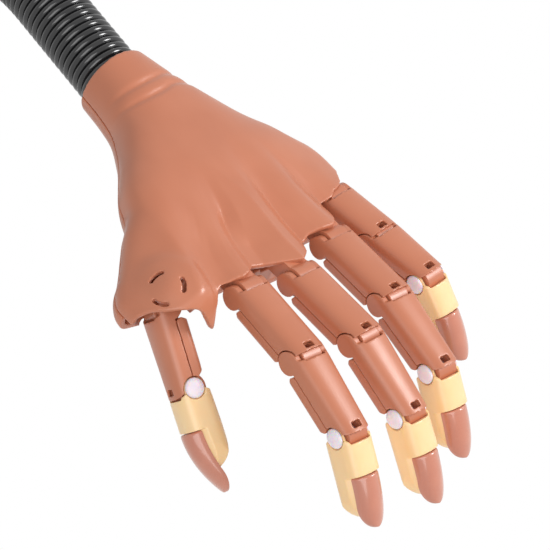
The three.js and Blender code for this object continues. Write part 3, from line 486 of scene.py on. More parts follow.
@dataclass(frozen=True)
class Finish:
    """Surface of one real material, with a fine grain and slight unevenness.

    Sizes are in millimetres on the object.
    """

    name: str
    colour: str
    shade: str
    roughness: float
    ior: float = 1.5
    metallic: float = 0.0
    coat: float = 0.0
    coat_roughness: float = 0.1
    blush: float = 0.0
    blush_depth: float = 0.0
    blush_colour: Triple = (1.0, 0.4, 0.2)
    mottle: float = 9.0
    grain: float = 0.5
    grain_height: float = 0.02
    uneven: float = 0.06

    def noise(self, tree: bpy.types.NodeTree, size: float, detail: float = 2.0) -> bpy.types.NodeSocket:
        """Noise whose lumps have a size in millimetres on the object."""
        place = add(tree, "TexCoord").outputs["Object"]
        lumps = {"Vector": place, "Scale": 1.0 / (size * MM), "Detail": detail}
        return add(tree, "TexNoise", lumps).outputs[0]

    def colours(self, tree: bpy.types.NodeTree) -> bpy.types.NodeSocket:
        """Main colour with slow drifts towards the shade."""
        drift = {"Value": self.noise(tree, self.mottle), "From Min": 0.35, "From Max": 0.7}
        share = add(tree, "MapRange", drift).outputs[0]
        mix = {0: share, 6: linear(self.colour), 7: linear(self.shade)}
        return add(tree, "Mix", mix, data_type="RGBA").outputs[2]

    def height(self, tree: bpy.types.NodeTree) -> bpy.types.NodeSocket:
        """Height of the fine grain, from 0 to 1."""
        return self.noise(tree, self.grain, 3.0)

    def material(self) -> bpy.types.Material:
        """Material of this finish, made once."""
        known = bpy.data.materials.get(self.name)
        if known:
            return known
        made = bpy.data.materials.new(self.name)
        made.use_nodes = True
        tree = made.node_tree
        shader = tree.nodes["Principled BSDF"]
        sockets = {
            "Metallic": self.metallic,
            "Coat Weight": self.coat,
            "Coat Roughness": self.coat_roughness,
            "Subsurface Weight": self.blush,
            "Subsurface Scale": self.blush_depth * MM,
        }
        if not self.metallic:
            sockets["IOR"] = self.ior
        for name, value in sockets.items():
            shader.inputs[name].default_value = value
        shader.inputs["Subsurface Radius"].default_value = self.blush_colour
        tree.links.new(self.colours(tree), shader.inputs["Base Color"])
        rough = {
            "Value": self.noise(tree, self.mottle / 3),
            "To Min": self.roughness - self.uneven,
            "To Max": self.roughness + self.uneven,
        }
        tree.links.new(add(tree, "MapRange", rough).outputs[0], shader.inputs["Roughness"])
        relief = {"Height": self.height(tree), "Distance": self.grain_height * MM, "Strength": 1.0}
        tree.links.new(add(tree, "Bump", relief).outputs[0], shader.inputs["Normal"])
        return made


@dataclass(frozen=True)
class Pearl(Finish):
    """Pearly lacquer: fine mica flakes of a paler colour, and a painted sheen: the colour turns paler where
    the surface turns away from the view.
    """

    flake_and_sheen_colour: str = "f0c8b4"
    flake: float = 0.09

    def colours(self, tree: bpy.types.NodeTree) -> bpy.types.NodeSocket:
        """Lacquer colour with paler flakes and a painted sheen that pales it where the surface is seen
        edge-on.
        """
        plain = super().colours(tree)
        flakes = {"Value": self.noise(tree, self.flake, 0.0), "From Min": 0.5, "To Max": 0.35}
        dusted = {0: add(tree, "MapRange", flakes).outputs[0], 6: plain, 7: linear(self.flake_and_sheen_colour)}
        # Painted sheen: the colour is mixed towards the pale flake colour where the surface faces away from
        # the view, standing in for a real sheen.
        rim = add(tree, "LayerWeight", {"Blend": 0.3}).outputs["Facing"]
        soft = add(tree, "Math", {0: rim, 1: 0.3}, operation="MULTIPLY").outputs[0]
        pale = {0: soft, 6: add(tree, "Mix", dusted, data_type="RGBA").outputs[2], 7: linear(self.flake_and_sheen_colour)}
        return add(tree, "Mix", pale, data_type="RGBA").outputs[2]


# Moulded ABS, dyed through: a satin skin with soft wide highlights and faint flow marks.
BROWN_ABS = Finish(
    "moulded_brown_abs", "c67b5c", "c07556", 0.35, 1.54, mottle=22, grain=0.7, grain_height=0.005
)
# Soft PVC, slightly clear: a little light spreads inside it and warms its shaded flanks.
SOFT_PVC = Finish(
    "soft_peach_pvc",
    "ffdaa6",
    "ffd39a",
    0.3,
    1.53,
    blush=0.15,
    blush_depth=1.5,
    blush_colour=(1.0, 0.5, 0.25),
    mottle=16,
    grain=0.6,
    grain_height=0.003,
    uneven=0.03,
)
# Thin ABS nail with a mica lacquer: clear highlights over a warm pearly ground.
NAIL_LACQUER = Pearl("pearl_lacquered_nail", "c97b60", "c1735a", 0.3, 1.5, coat=0.8, mottle=9, uneven=0.03)
# Moulded nylon: waxy white, a little pink from the light that passes through.
PIN_NYLON = Finish(
    "moulded_nylon", "fbeef6", "f5e6f0", 0.38, 1.53, blush=0.5, blush_depth=1.5, mottle=4, grain_height=0.003
)
# Extruded black PVC over a steel core: near black with small sharp highlights.
BLACK_PVC = Finish(
    "extruded_black_pvc", "0b0b0d", "141416", 0.16, 1.52, coat=0.3, mottle=7, grain=0.4, grain_height=0.003
)
# Powder coat on cast steel: black with the slight ripple of baked powder.
POWDER_COAT = Finish(
    "black_powder_coat", "17171a", "1f1f22", 0.4, 1.5, mottle=12, grain=1.1, grain_height=0.05
)
# Zinc plate on steel: pale grey metal with a faint bluish bloom.
ZINC_PLATE = Finish(
    "zinc_plated_steel", "b9bcc2", "a9adb4", 0.3, metallic=1.0, mottle=5, grain=0.3, grain_height=0.006
)
# Moulded rubber: dark and dull with a fine dry grain.
PAD_RUBBER = Finish("moulded_rubber", "232323", "2d2c2b", 0.75, 1.52, grain=0.5, grain_height=0.04)
# Moulded black ABS of the knob: satin, finely spark-textured for grip.
BLACK_ABS = Finish("textured_black_abs", "161617", "1e1e20", 0.48, 1.54, grain=0.45, grain_height=0.04)


class Slot(Enum):
    """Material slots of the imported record."""

    BROWN = "brown_abs"
    NAIL = "nail_pearl"
    TIP = "soft_tip"
    PIN = "pin_nylon"
    HOSE = "hose_pvc"
    CLAMP = "clamp_enamel"
    STEEL = "plated_steel"
    PAD = "pad_rubber"


@dataclass(frozen=True)
class Dress:
    """Finish of a piece and the record's slot that it belongs to."""

    finish: Finish
    slot: Slot


BROWN = Dress(BROWN_ABS, Slot.BROWN)
TIP = Dress(SOFT_PVC, Slot.TIP)
NAIL = Dress(NAIL_LACQUER, Slot.NAIL)
PIN = Dress(PIN_NYLON, Slot.PIN)
HOSE = Dress(BLACK_PVC, Slot.HOSE)
ENAMEL = Dress(POWDER_COAT, Slot.CLAMP)
STEEL = Dress(ZINC_PLATE, Slot.STEEL)
RUBBER = Dress(PAD_RUBBER, Slot.PAD)
KNOB = Dress(BLACK_ABS, Slot.HOSE)


def in_metres(matrix: Matrix) -> Matrix:
    """Same placement with its distance in metres."""
    made = matrix.copy()
    made.translation = matrix.translation * MM
    return made


def finished(
    work: Work,
    name: str,
    dress: Dress,
    frame: Matrix,
    nodes: Sequence[str],
    crease: float = 40,
) -> bpy.types.Object:
    """Turn a worked shape into a dressed piece.

    Args:
        work: The shape, in millimetres, in its own frame.
        name: Name of the piece.
        dress: Its finish and slot.
        frame: Where its own frame stands, in millimetres.
        nodes: CAD nodes that it stands for.
        crease: Edges sharper than this many degrees stay crisp.

    Returns:
        The piece, in metres.
    """
    piece = work.obj
    piece.name = name
    piece.data.name = name
    piece.data.transform(Matrix.Scale(MM, 4))
    piece.data.polygons.foreach_set("use_smooth", [True] * len(piece.data.polygons))
    piece.data.set_sharp_from_angle(angle=math.radians(crease))
    piece.data.materials.clear()
    piece.data.materials.append(dress.finish.material())
    piece.matrix_world = in_metres(frame)
    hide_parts(*nodes)
    log.info("%s: %d faces", name, len(piece.data.polygons))
    return piece


def shown(work: Work, name: str, dress: Dress, frame: Matrix, body: str) -> None:
    """Finish a worked shape, let it ride on a body and let it stand for the CAD node that it is named after.

    Args:
        work: The shape.
        name: Name of the node, with _look behind it.
        dress: Its finish and slot.
        frame: Where its own frame stands, in millimetres.
        body: Body that it moves with.
    """
    piece = finished(work, name, dress, frame, (name.removesuffix("_look"),))
    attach(piece, body)


@dataclass(frozen=True)
class Make:
    """Sizes that every phalanx and fingertip shares, in millimetres from the near hinge.

    A pair of places along the finger holds one at the ears' height and one at the crest.
    """

    seat_gap: float = 0.3
    run_gap: float = 0.35
    far: float = 40.0
    width: float = 15.0
    top: float = 6.5
    under: float = 5.2
    wall: float = 2.0
    split: float = -0.3
    ear: float = 4.2
    tip_ear: float = 3.6
    roof_start: Point = (1.3, 2.6)
    roof_reach: Point = (0.9, 1.4)
    tip_reach: Point = (0.7, 2.2)
    tongue_width: float = 8.4
    barrel: float = 5.2
    tongue_under: float = 3.8
    trunnion: float = 2.2
    trunnion_reach: float = 2.0
    window: Point = (2.2, 3.8)
    window_setback: float = 0.6
    window_floor: float = 1.4
    grain: float = 0.24

    @property
    def half(self) -> float:
        """Half the width."""
        return self.width / 2

    @property
    def pocket_top(self) -> float:
        """Height of the hollow inside a shell."""
        return self.top - self.wall

    @property
    def pocket_start(self) -> float:
        """Where the hollow starts, from the hinge."""
        return self.barrel + self.run_gap + self.wall

    @property
    def tongue_top(self) -> float:
        """Height of a tongue above its hinge."""
        return self.pocket_top - self.seat_gap

    def crown(self, width: float, top: float, under: float, foot: float = 3.0) -> Outline:
        """Cross-section of a phalanx: straight flanks under a rounded back.

        Args:
            width: Full width.
            top: Height of the back.
            under: Depth of the underside.
            foot: Size of the lower corners' rounding.

        Returns:
            The outline, across and up.
        """
        half = width / 2
        line = Outline().to((-half, -under + foot), (-half, 1.5)).curve((-half, top), (0, top))
        line.curve((half, top), (half, 1.5)).to((half, -under + foot))
        line.curve((half, -under), (half - foot, -under)).to((-half + foot, -under))
        return line.curve((-half, -under), (-half, -under + foot))

    def across(self, radius: float, x: float, reach: float) -> Work:
        """Rod across the finger, centred on it."""
        return Work.rod(Axis.Y, radius, (-reach, reach), (x, 0))

    def tongue_room(self) -> Work:
        """What the tongue before a piece needs between its ears."""
        far, half = self.far, self.tongue_width / 2 + self.run_gap
        low, high = self.roof_start
        return self.across(self.barrel + self.run_gap, 0, half).join(
            Work.block((-far, low), (-half, half), (-far, far)),
            Work.block((-far, high), (-half, half), (self.ear, far)),
        )

    def ear_room(self, x: float, pinned: bool) -> Work:
        """What turns beside and beyond a tongue: the next phalanx, or the soft tip.

        Args:
            x: Place of the hinge.
            pinned: True for the soft tip's hinge.

        Returns:
            The room.
        """
        far, half = self.far, self.tongue_width / 2
        ear, (low, high) = (self.tip_ear, self.tip_reach) if pinned else (self.ear, self.roof_reach)
        radius = ear + self.run_gap
        start = [(x + low, -far), (x + low, radius), (x + high, self.top), (x + high, far)]
        room = Work.prism([*start, (x + far, far), (x + far, -far)], Plane.XZ, -far, far)
        for span in ((-far, -half), (half, far)):
            room.join(Work.rod(Axis.Y, radius, span, (x, 0)), Work.block((x, x + low + 1), span, (-far, 0)))
        return room

    def tongue(self, x: float, back: float) -> Work:
        """Tongue round the hinge at x, reaching back by a length."""
        half = self.tongue_width / 2
        return self.across(self.barrel, x, half).join(
            Work.block((x - back, x), (-half, half), (-self.tongue_under, self.tongue_top))
        )

    def trunnions(self, x: float) -> Work:
        """Stub on each side of a tongue."""
        return self.across(self.trunnion, x, self.tongue_width / 2 + self.trunnion_reach)

    def window_block(self, length: float) -> Work:
        """Small window through a shell's back above the far hinge, with its pocket."""
        middle = length - self.window_setback
        x, y = self.window[0] / 2, self.window[1] / 2
        return Work.block((middle - x, middle + x), (-y, y), (self.window_floor, self.far))


@dataclass
class Phalanx:
    """Hollow phalanx: an upper shell with two ears, and a palm-side core that ends in a tongue."""

    make: Make
    length: float
    pinned: bool
    pin_hole: float = 2.3
    far_width: float = 13.1

    def envelope(self, under: float, foot: float = 3.0) -> Work:
        """Form that both halves keep to; a phalanx with a pinned end narrows towards it.

        Args:
            under: Depth of the underside.
            foot: Size of the lower corners' rounding.

        Returns:
            The form.
        """
        m, end = self.make, self.length
        narrow = self.far_width if self.pinned else m.width
        rings = []
        for x, width in ((-m.far, m.width), (m.ear, m.width), (end, narrow), (end + m.far, narrow)):
            rings.append([Vector((x, y, z)) for y, z in m.crown(width, m.top, under, foot).clean()])
        return Work.loft(rings)

    def shell(self) -> Work:
        """Upper shell with its ears, hollow and window."""
        m, end = self.make, self.length
        low, high = m.roof_start
        front = high + (high - low) / (m.top - m.ear)
        side = Outline().to((end + m.far, m.top + 1), (front, m.top + 1), (low, m.ear), (0, m.ear))
        side.arc((0, 0), m.ear, 90, 360 + math.degrees(math.asin(m.split / m.ear))).to((end + m.far, m.split))
        body = Work.prism(side, Plane.XZ, -m.half, m.half)
        body.keep(self.envelope(12.0))
        pocket, barrel = m.half - m.wall, m.tongue_width / 2 + m.seat_gap
        body.cut(
            m.tongue_room(),
            Work.block((m.pocket_start, end - m.wall), (-pocket, pocket), (-m.far, m.pocket_top)),
            Work.block((m.pocket_start, end + m.far), (-barrel, barrel), (-m.far, m.tongue_top + m.seat_gap)),
            m.across(m.barrel + m.seat_gap, end, barrel),
            m.ear_room(end, self.pinned),
            m.across(m.trunnion + m.seat_gap, 0, m.tongue_width / 2 + m.trunnion_reach + m.seat_gap),
            m.window_block(end),
        )
        return body.moulded(m.grain)

    def core(self) -> Work:
        """Palm-side core with the rib that fills the shell and the tongue of the next hinge."""
        m, end = self.make, self.length
        top = m.split - m.run_gap
        side = [
            (4.9, top),
            (4.2, -2.6),
            (5.6, -m.under),
            (end - 9, -m.under),
            (end - 4.8, -4.6),
            (end - 3, -2.3),
            (end - 3, top),
        ]
        body = Work.prism(side, Plane.XZ, -m.half, m.half)
        body.keep(self.envelope(m.under, 2.6))
        rib = m.half - m.wall - m.seat_gap
        body.join(Work.block((m.pocket_start + m.seat_gap, end - 7), (-rib, rib), (top - 1, m.tongue_top)))
        body.cut(m.tongue_room(), m.ear_room(end, self.pinned))
        body.join(m.tongue(end, 12)).cut(m.window_block(end))
        if self.pinned:
            body.cut(m.across(self.pin_hole, end, m.far))
        else:
            body.join(m.trunnions(end))
        return body.moulded(m.grain)


@dataclass(frozen=True)
class NailForm:
    """Free end of a nail: its distance from the tip's hinge, and its drop from the rim."""

    end: float
    drop: float


@dataclass(frozen=True)
class PlateRing:
    """Section of a bowed plate at a place along the finger."""

    x: float
    half: float
    top: float
    under: float
    soft: float = 0.0
    bowed: bool = True


@dataclass
class Fingertip:
    """Soft fingertip with its hinge pin and the nail in its slot."""

    make: Make
    nail_form: NailForm
    width: float = 13.1
    length: float = 28.8
    start: Point = (1.0, 2.6)
    pin: float = 2.0
    head: float = 3.5
    head_dome: float = 1.7
    recess: float = 1.2
    root: float = 10.0
    rim: float = 14.0
    nail_width: float = 10.6
    nail_crest: float = 7.2
    nail_under: float = 4.4
    nail_sag: float = 2.5
    nail_end: float = 1.2
    nail_oval: float = 8.0
    tab_width: float = 8.4
    tab_thickness: float = 0.9
    root_radius: float = 0.25
    rim_round: float = 0.9

    def plate(self, rings: Sequence[PlateRing], columns: int = 32) -> Work:
        """Bowed plate through its sections.

        Args:
            rings: Sections in order along the finger.
            columns: Facets across.

        Returns:
            The closed plate.
        """
        made = []
        for ring in rings:
            top, under = [], []
            for c in range(columns + 1):
                share = 2 * c / columns - 1
                y = ring.half * share
                bow = self.nail_sag * (2 * y / self.nail_width) ** 2
                drop = bow + ring.soft * abs(share) ** 4 if ring.bowed else 0.0
                top.append(Vector((ring.x, y, ring.top - drop)))
                under.append(Vector((ring.x, y, ring.under - bow)))
            made.append(top + under[::-1])
        return Work.loft(made)

    def heights(self, x: float) -> Point:
        """Height of the nail's crest and of its underside at a place past the rim."""
        share = (x - self.rim) / (self.nail_form.end - self.rim)
        under_drop = self.nail_form.drop + self.nail_under + self.nail_end - self.nail_crest
        return self.nail_crest - self.nail_form.drop * share**2, self.nail_under - under_drop * share**2

    def bed(self) -> Work:
        """What the nail takes off the soft tip, under it and above."""
        places = [self.rim - self.make.seat_gap + k * 1.3 for k in range(13)]
        rings = []
        for x in places:
            under = self.heights(max(x, self.rim))[1] - self.make.seat_gap
            rings.append(PlateRing(x, self.width / 2 + 1, self.make.far, under, bowed=False))
        return self.plate(rings)

    def slot(self) -> Work:
        """Slot for the nail's tab."""
        gap = self.make.seat_gap
        top, under = self.nail_under + self.tab_thickness + gap, self.nail_under - gap
        ends = (self.root - gap, self.rim + gap)
        return self.plate([PlateRing(x, self.tab_width / 2 + gap, top, under) for x in ends])

    def tip(self) -> Work:
        """Soft tip: ears round the pin, a long pad with a round end, and the nail's slot and bed."""
        m, half, end = self.make, self.width / 2, self.length
        low, high = self.start
        front = high + (high - low) / (m.top - m.tip_ear)
        side = Outline().to((front, m.top + 1), (low, m.tip_ear), (0, m.tip_ear))
        side.arc((0, 0), m.tip_ear, 90, 270).to((0.8, -m.tip_ear), (1.8, -5.6), (14.6, -6.5))
        side.curve((end - 4, -6.5), (end - 1, -1.4)).curve((end + 0.6, 2.2), (end - 3, 4.2))
        side.curve((end - 7, 6.2), (self.rim, m.top)).to((self.rim, m.top + 1))
        plan = Outline().to((-m.far, -half), (end - 9, -half)).curve((end, -half + 0.6), (end, 0))
        plan.curve((end, half - 0.6), (end - 9, half)).to((-m.far, half))
        body = Work.prism(side, Plane.XZ, -half, half)
        body.keep(Work.prism(plan, Plane.XY, -m.far, m.far))
        body.keep(Work.prism(m.crown(self.width, m.top, 7, 5), Plane.YZ, -m.far, m.far))
        seat, gap = half - self.recess, m.seat_gap
        body.cut(
            m.tongue_room(),
            m.across(self.pin + gap, 0, m.far),
            Work.rod(Axis.Y, self.head + gap, (seat, m.far)),
            Work.rod(Axis.Y, self.head + gap, (-m.far, -seat)),
            self.slot(),
            self.bed(),
        )
        return body.moulded(m.grain, rounds=5)

    def nail(self) -> Work:
        """Nail tip: a tab in the slot, a rounded step up at the rim, and a long plate with an oval end."""
        half = self.nail_width / 2
        tab = (self.tab_width / 2, self.nail_under + self.tab_thickness, self.nail_under)
        rings = [PlateRing(self.root, *tab), PlateRing(self.rim, *tab)]
        oval = self.nail_form.end - self.nail_oval
        places = [(self.rim + self.rim_round * (k / 8) ** 1.5, 1.0) for k in range(9)]
        first = places[-1][0]
        places += [(first + (oval - first) * k / 16, 1.0) for k in range(1, 17)]
        for k in range(1, 16):
            angle = math.radians(86 * k / 15)
            places.append((oval + self.nail_oval * math.sin(angle), math.cos(angle)))
        for x, narrow in places:
            top, under = self.heights(x)
            near = max(0.0, 1 - (x - self.rim) / self.rim_round)
            ease = 1 - math.sqrt(1 - near**2)
            soft = 0.42 * (top - under)
            rings.append(PlateRing(x, (half - 0.4 * ease) * narrow, top - 0.7 * ease, under, soft))
        return self.plate(rings)

    def hinge_pin(self) -> Work:
        """Pin with a domed head on each side."""
        seat = self.width / 2 - self.recess + self.make.seat_gap
        dome = [(self.pin, seat), (self.head - self.root_radius, seat), (self.head, seat + self.root_radius)]
        steps = 14
        for k in range(1, steps + 1):
            angle = math.pi / 2 * k / steps
            rise = self.root_radius + (self.head_dome - self.root_radius) * math.sin(angle)
            dome.append((self.head * math.cos(angle), seat + rise))
        lower = [(radius, -height) for radius, height in reversed(dome)]
        return Work.turned(lower + dome, 64, Axis.Y)


@dataclass(frozen=True)
class Digit:
    """One finger: where its knuckle stands, its heading and lean, its rest bends and its lengths."""

    name: str
    hinge: Triple
    yaw: float
    roll: float
    bends: Triple
    lengths: Point

    def knuckle(self) -> Matrix:
        """Frame of the knuckle in the hand."""
        return shift(*self.hinge) @ turn(self.yaw, Axis.Z) @ turn(self.roll, Axis.X)


FINGERS = (
    Digit("index", (101.7, -24.8, -1.2), -3.2, -0.8, (1.6, 15.3, 24.6), (30.6, 28.9)),
    Digit("middle", (106.6, -4.5, 1.0), 0.2, 0.2, (0.2, 19.8, 22), (30.6, 28.9)),
    Digit("ring", (98.5, 20.2, 0.1), -2.5, 2.2, (-2.2, 16.2, 30.2), (30.6, 28.9)),
    Digit("little", (82, 38.1, -2.2), 3.5, 5.2, (-3.4, 2.2, 40.5), (22.3, 22.8)),
)


@dataclass(frozen=True)
class Thumb:
    """Thumb: its hinge, directions and length, and the dome that it swivels under."""

    hinge: Triple = (87.2, -47.4, -12.9)
    heading: Triple = (0.827, -0.094, -0.554)
    side: Triple = (0.526, -0.219, 0.822)
    length: float = 28.0
    dome: Triple = (88.8, -52.1, 2.0)
    lean: float = 30.0
    dome_radius: float = 8.5
    dome_rise: float = 1.2
    slot_ring: float = 5.9
    slot_width: float = 1.3
    slot_span: float = 58.0
    disc_top: float = -4.0
    disc_thickness: float = 2.4
    disc_radius: float = 7.2
    stem_front: float = 3.6
    room: float = 10.4
    slot_places: Triple = (58.0, 178.0, 298.0)
    nail: NailForm = NailForm(36.6, 8.4)

    def dome_profile(self, away: float) -> float:
        """Height of the dome's low bump at a distance from its middle."""
        share = min(away / (self.dome_radius + 2), 1.0)
        return self.dome_rise * (1.5 * math.cos(math.pi * share / 2) ** 2 - 0.5)

    def frame(self) -> Matrix:
        """Frame of the thumb's hinge in the hand."""
        ahead = Vector(self.heading).normalized()
        up = ahead.cross(Vector(self.side)).normalized()
        across = up.cross(ahead)
        made = Matrix((ahead, across, up)).transposed().to_4x4()
        made.translation = self.hinge
        return made

    def dome_frame(self) -> Matrix:
        """Frame of the dome, with Z along its axis."""
        return shift(*self.dome) @ turn(self.lean, Axis.X)


@dataclass(frozen=True)
class Swivel:
    """Post of the palm shell, on its boss, and the eye of a knuckle link that turns on it."""

    back: float = 16.0
    post: float = 2.4
    eye: float = 5.2
    half: float = 4.0
    boss: float = 4.8


@dataclass
class Fingers:
    """The four fingers and the thumb."""

    hand: Matrix
    make: Make = field(default_factory=Make)
    thumb: Thumb = field(default_factory=Thumb)
    finger_nail: NailForm = NailForm(32.3, 3.7)
    swivel: Swivel = field(default_factory=Swivel)

    def __post_init__(self) -> None:
        """Keep room for each form that more than one digit uses."""
        self.forms: dict[str, Work] = {}

    def form(self, key: str, build: Callable[[], Work]) -> Work:
        """Copy of a form that is built the first time it is asked for.

        Args:
            key: Name of the form.
            build: Function that makes it.

        Returns:
            A fresh copy.
        """
        if key not in self.forms:
            self.forms[key] = build()
        return self.forms[key].copy()

    def link(self) -> Work:
        """Knuckle link: a tongue for the finger and an eye that swivels on the hand's post."""
        m, w = self.make, self.swivel
        body = Work.rod(Axis.Z, w.eye, (-w.half, w.half), (-w.back, 0))
        body.join(m.tongue(0, w.back))
        body.cut(
            Work.block((-m.far, -w.eye - 3), (-m.far, m.far), (w.half, m.far)),
            Work.rod(Axis.Z, w.post + m.seat_gap, (-m.far, m.far), (-w.back, 0)),
        )
        return body.join(m.trunnions(0)).moulded(m.grain)

    def phalanx(self, name: str, body: str, length: float, pinned: bool, frame: Matrix) -> None:
        """Build and dress one phalanx.

        Args:
            name: Start of the pieces' and the CAD nodes' names.
            body: Body that it moves with.
            length: Distance between its hinges.
            pinned: True where a separate pin holds the far hinge.
            frame: Frame of its near hinge.
        """
        part = Phalanx(self.make, length, pinned)
        shell = self.form(f"shell {length} {pinned}", part.shell)
        core = self.form(f"core {length} {pinned}", part.core)
        shown(shell, f"{name}_shell_look", BROWN, frame, body)
        shown(core, f"{name}_core_look", BROWN, frame, body)

    def end(self, name: str, frame: Matrix, nail: NailForm) -> None:
        """Build and dress the pin, the soft tip and the nail of a digit.

        Args:
            name: Name of the digit.
            frame: Frame of the tip's hinge.
            nail: Form of its nail.
        """
        tip = Fingertip(self.make, nail)
        shown(self.form("pin", tip.hinge_pin), f"{name}_tip_pin_look", PIN, frame, f"{name}_tip")
        shown(self.form(f"tip {nail}", tip.tip), f"{name}_fingertip_look", TIP, frame, f"{name}_tip")
        shown(self.form(f"nail {nail}", tip.nail), f"{name}_nail_look", NAIL, frame, f"{name}_nail")

    def build_finger(self, digit: Digit) -> None:
        """Build one finger from its knuckle outwards."""
        name = digit.name
        knuckle = self.hand @ digit.knuckle()
        shown(self.form("link", self.link), f"{name}_knuckle_link_look", BROWN, knuckle, f"{name}_knuckle")
        near = knuckle @ turn(digit.bends[0], Axis.Y)
        middle = near @ shift(digit.lengths[0]) @ turn(digit.bends[1], Axis.Y)
        last = middle @ shift(digit.lengths[1]) @ turn(digit.bends[2], Axis.Y)
        self.phalanx(f"{name}_proximal", f"{name}_proximal", digit.lengths[0], False, near)
        self.phalanx(f"{name}_middle", f"{name}_middle", digit.lengths[1], True, middle)
        self.end(name, last, self.finger_nail)

    def thumb_base(self) -> Work:
        """Disc under the dome, the stem that hangs from it and the tongue of the thumb's hinge."""
        t, m = self.thumb, self.make
        low, high = t.disc_top - t.disc_thickness, t.disc_top
        disc = [(0, low), (t.disc_radius, low), (t.disc_radius, high), (0, high)]
        base = Work.turned(disc).placed(t.dome_frame())
        depth = (t.dome_frame().inverted() @ Vector(t.hinge)).z
        stem = Work.block((-t.disc_radius, -t.stem_front), (-4.5, 3.5), (depth, t.disc_top - 1))
        stem.keep(Work.rod(Axis.Z, t.disc_radius, (-m.far, m.far)))
        base.join(stem.placed(t.dome_frame()))
        far, half = m.far, m.tongue_width / 2
        free = Work.rod(Axis.Y, m.ear + 1.2, (half, far)).join(
            Work.rod(Axis.Y, m.ear + 1.2, (-far, -half)),
            Work.block((0, far), (-far, -half), (-far, far)),
            Work.block((0, far), (half, half + 4), (-far, far)),
        )
        base.cut(free.placed(t.frame()))
        return base.join(m.tongue(0, 7.6).join(m.trunnions(0)).placed(t.frame())).moulded(m.grain)

    def build_thumb(self) -> None:
        """Build the thumb from its base outwards."""
        t = self.thumb
        shown(self.thumb_base(), "thumb_base_look", BROWN, self.hand, "thumb_base")
        frame = self.hand @ t.frame()
        self.phalanx("thumb", "thumb_segment", t.length, True, frame)
        self.end("thumb", frame @ shift(t.length), t.nail)

    def build(self) -> None:
        """Build every digit."""
        for digit in FINGERS:
            self.build_finger(digit)
        self.build_thumb()
        for form in self.forms.values():
            bpy.data.objects.remove(form.obj)


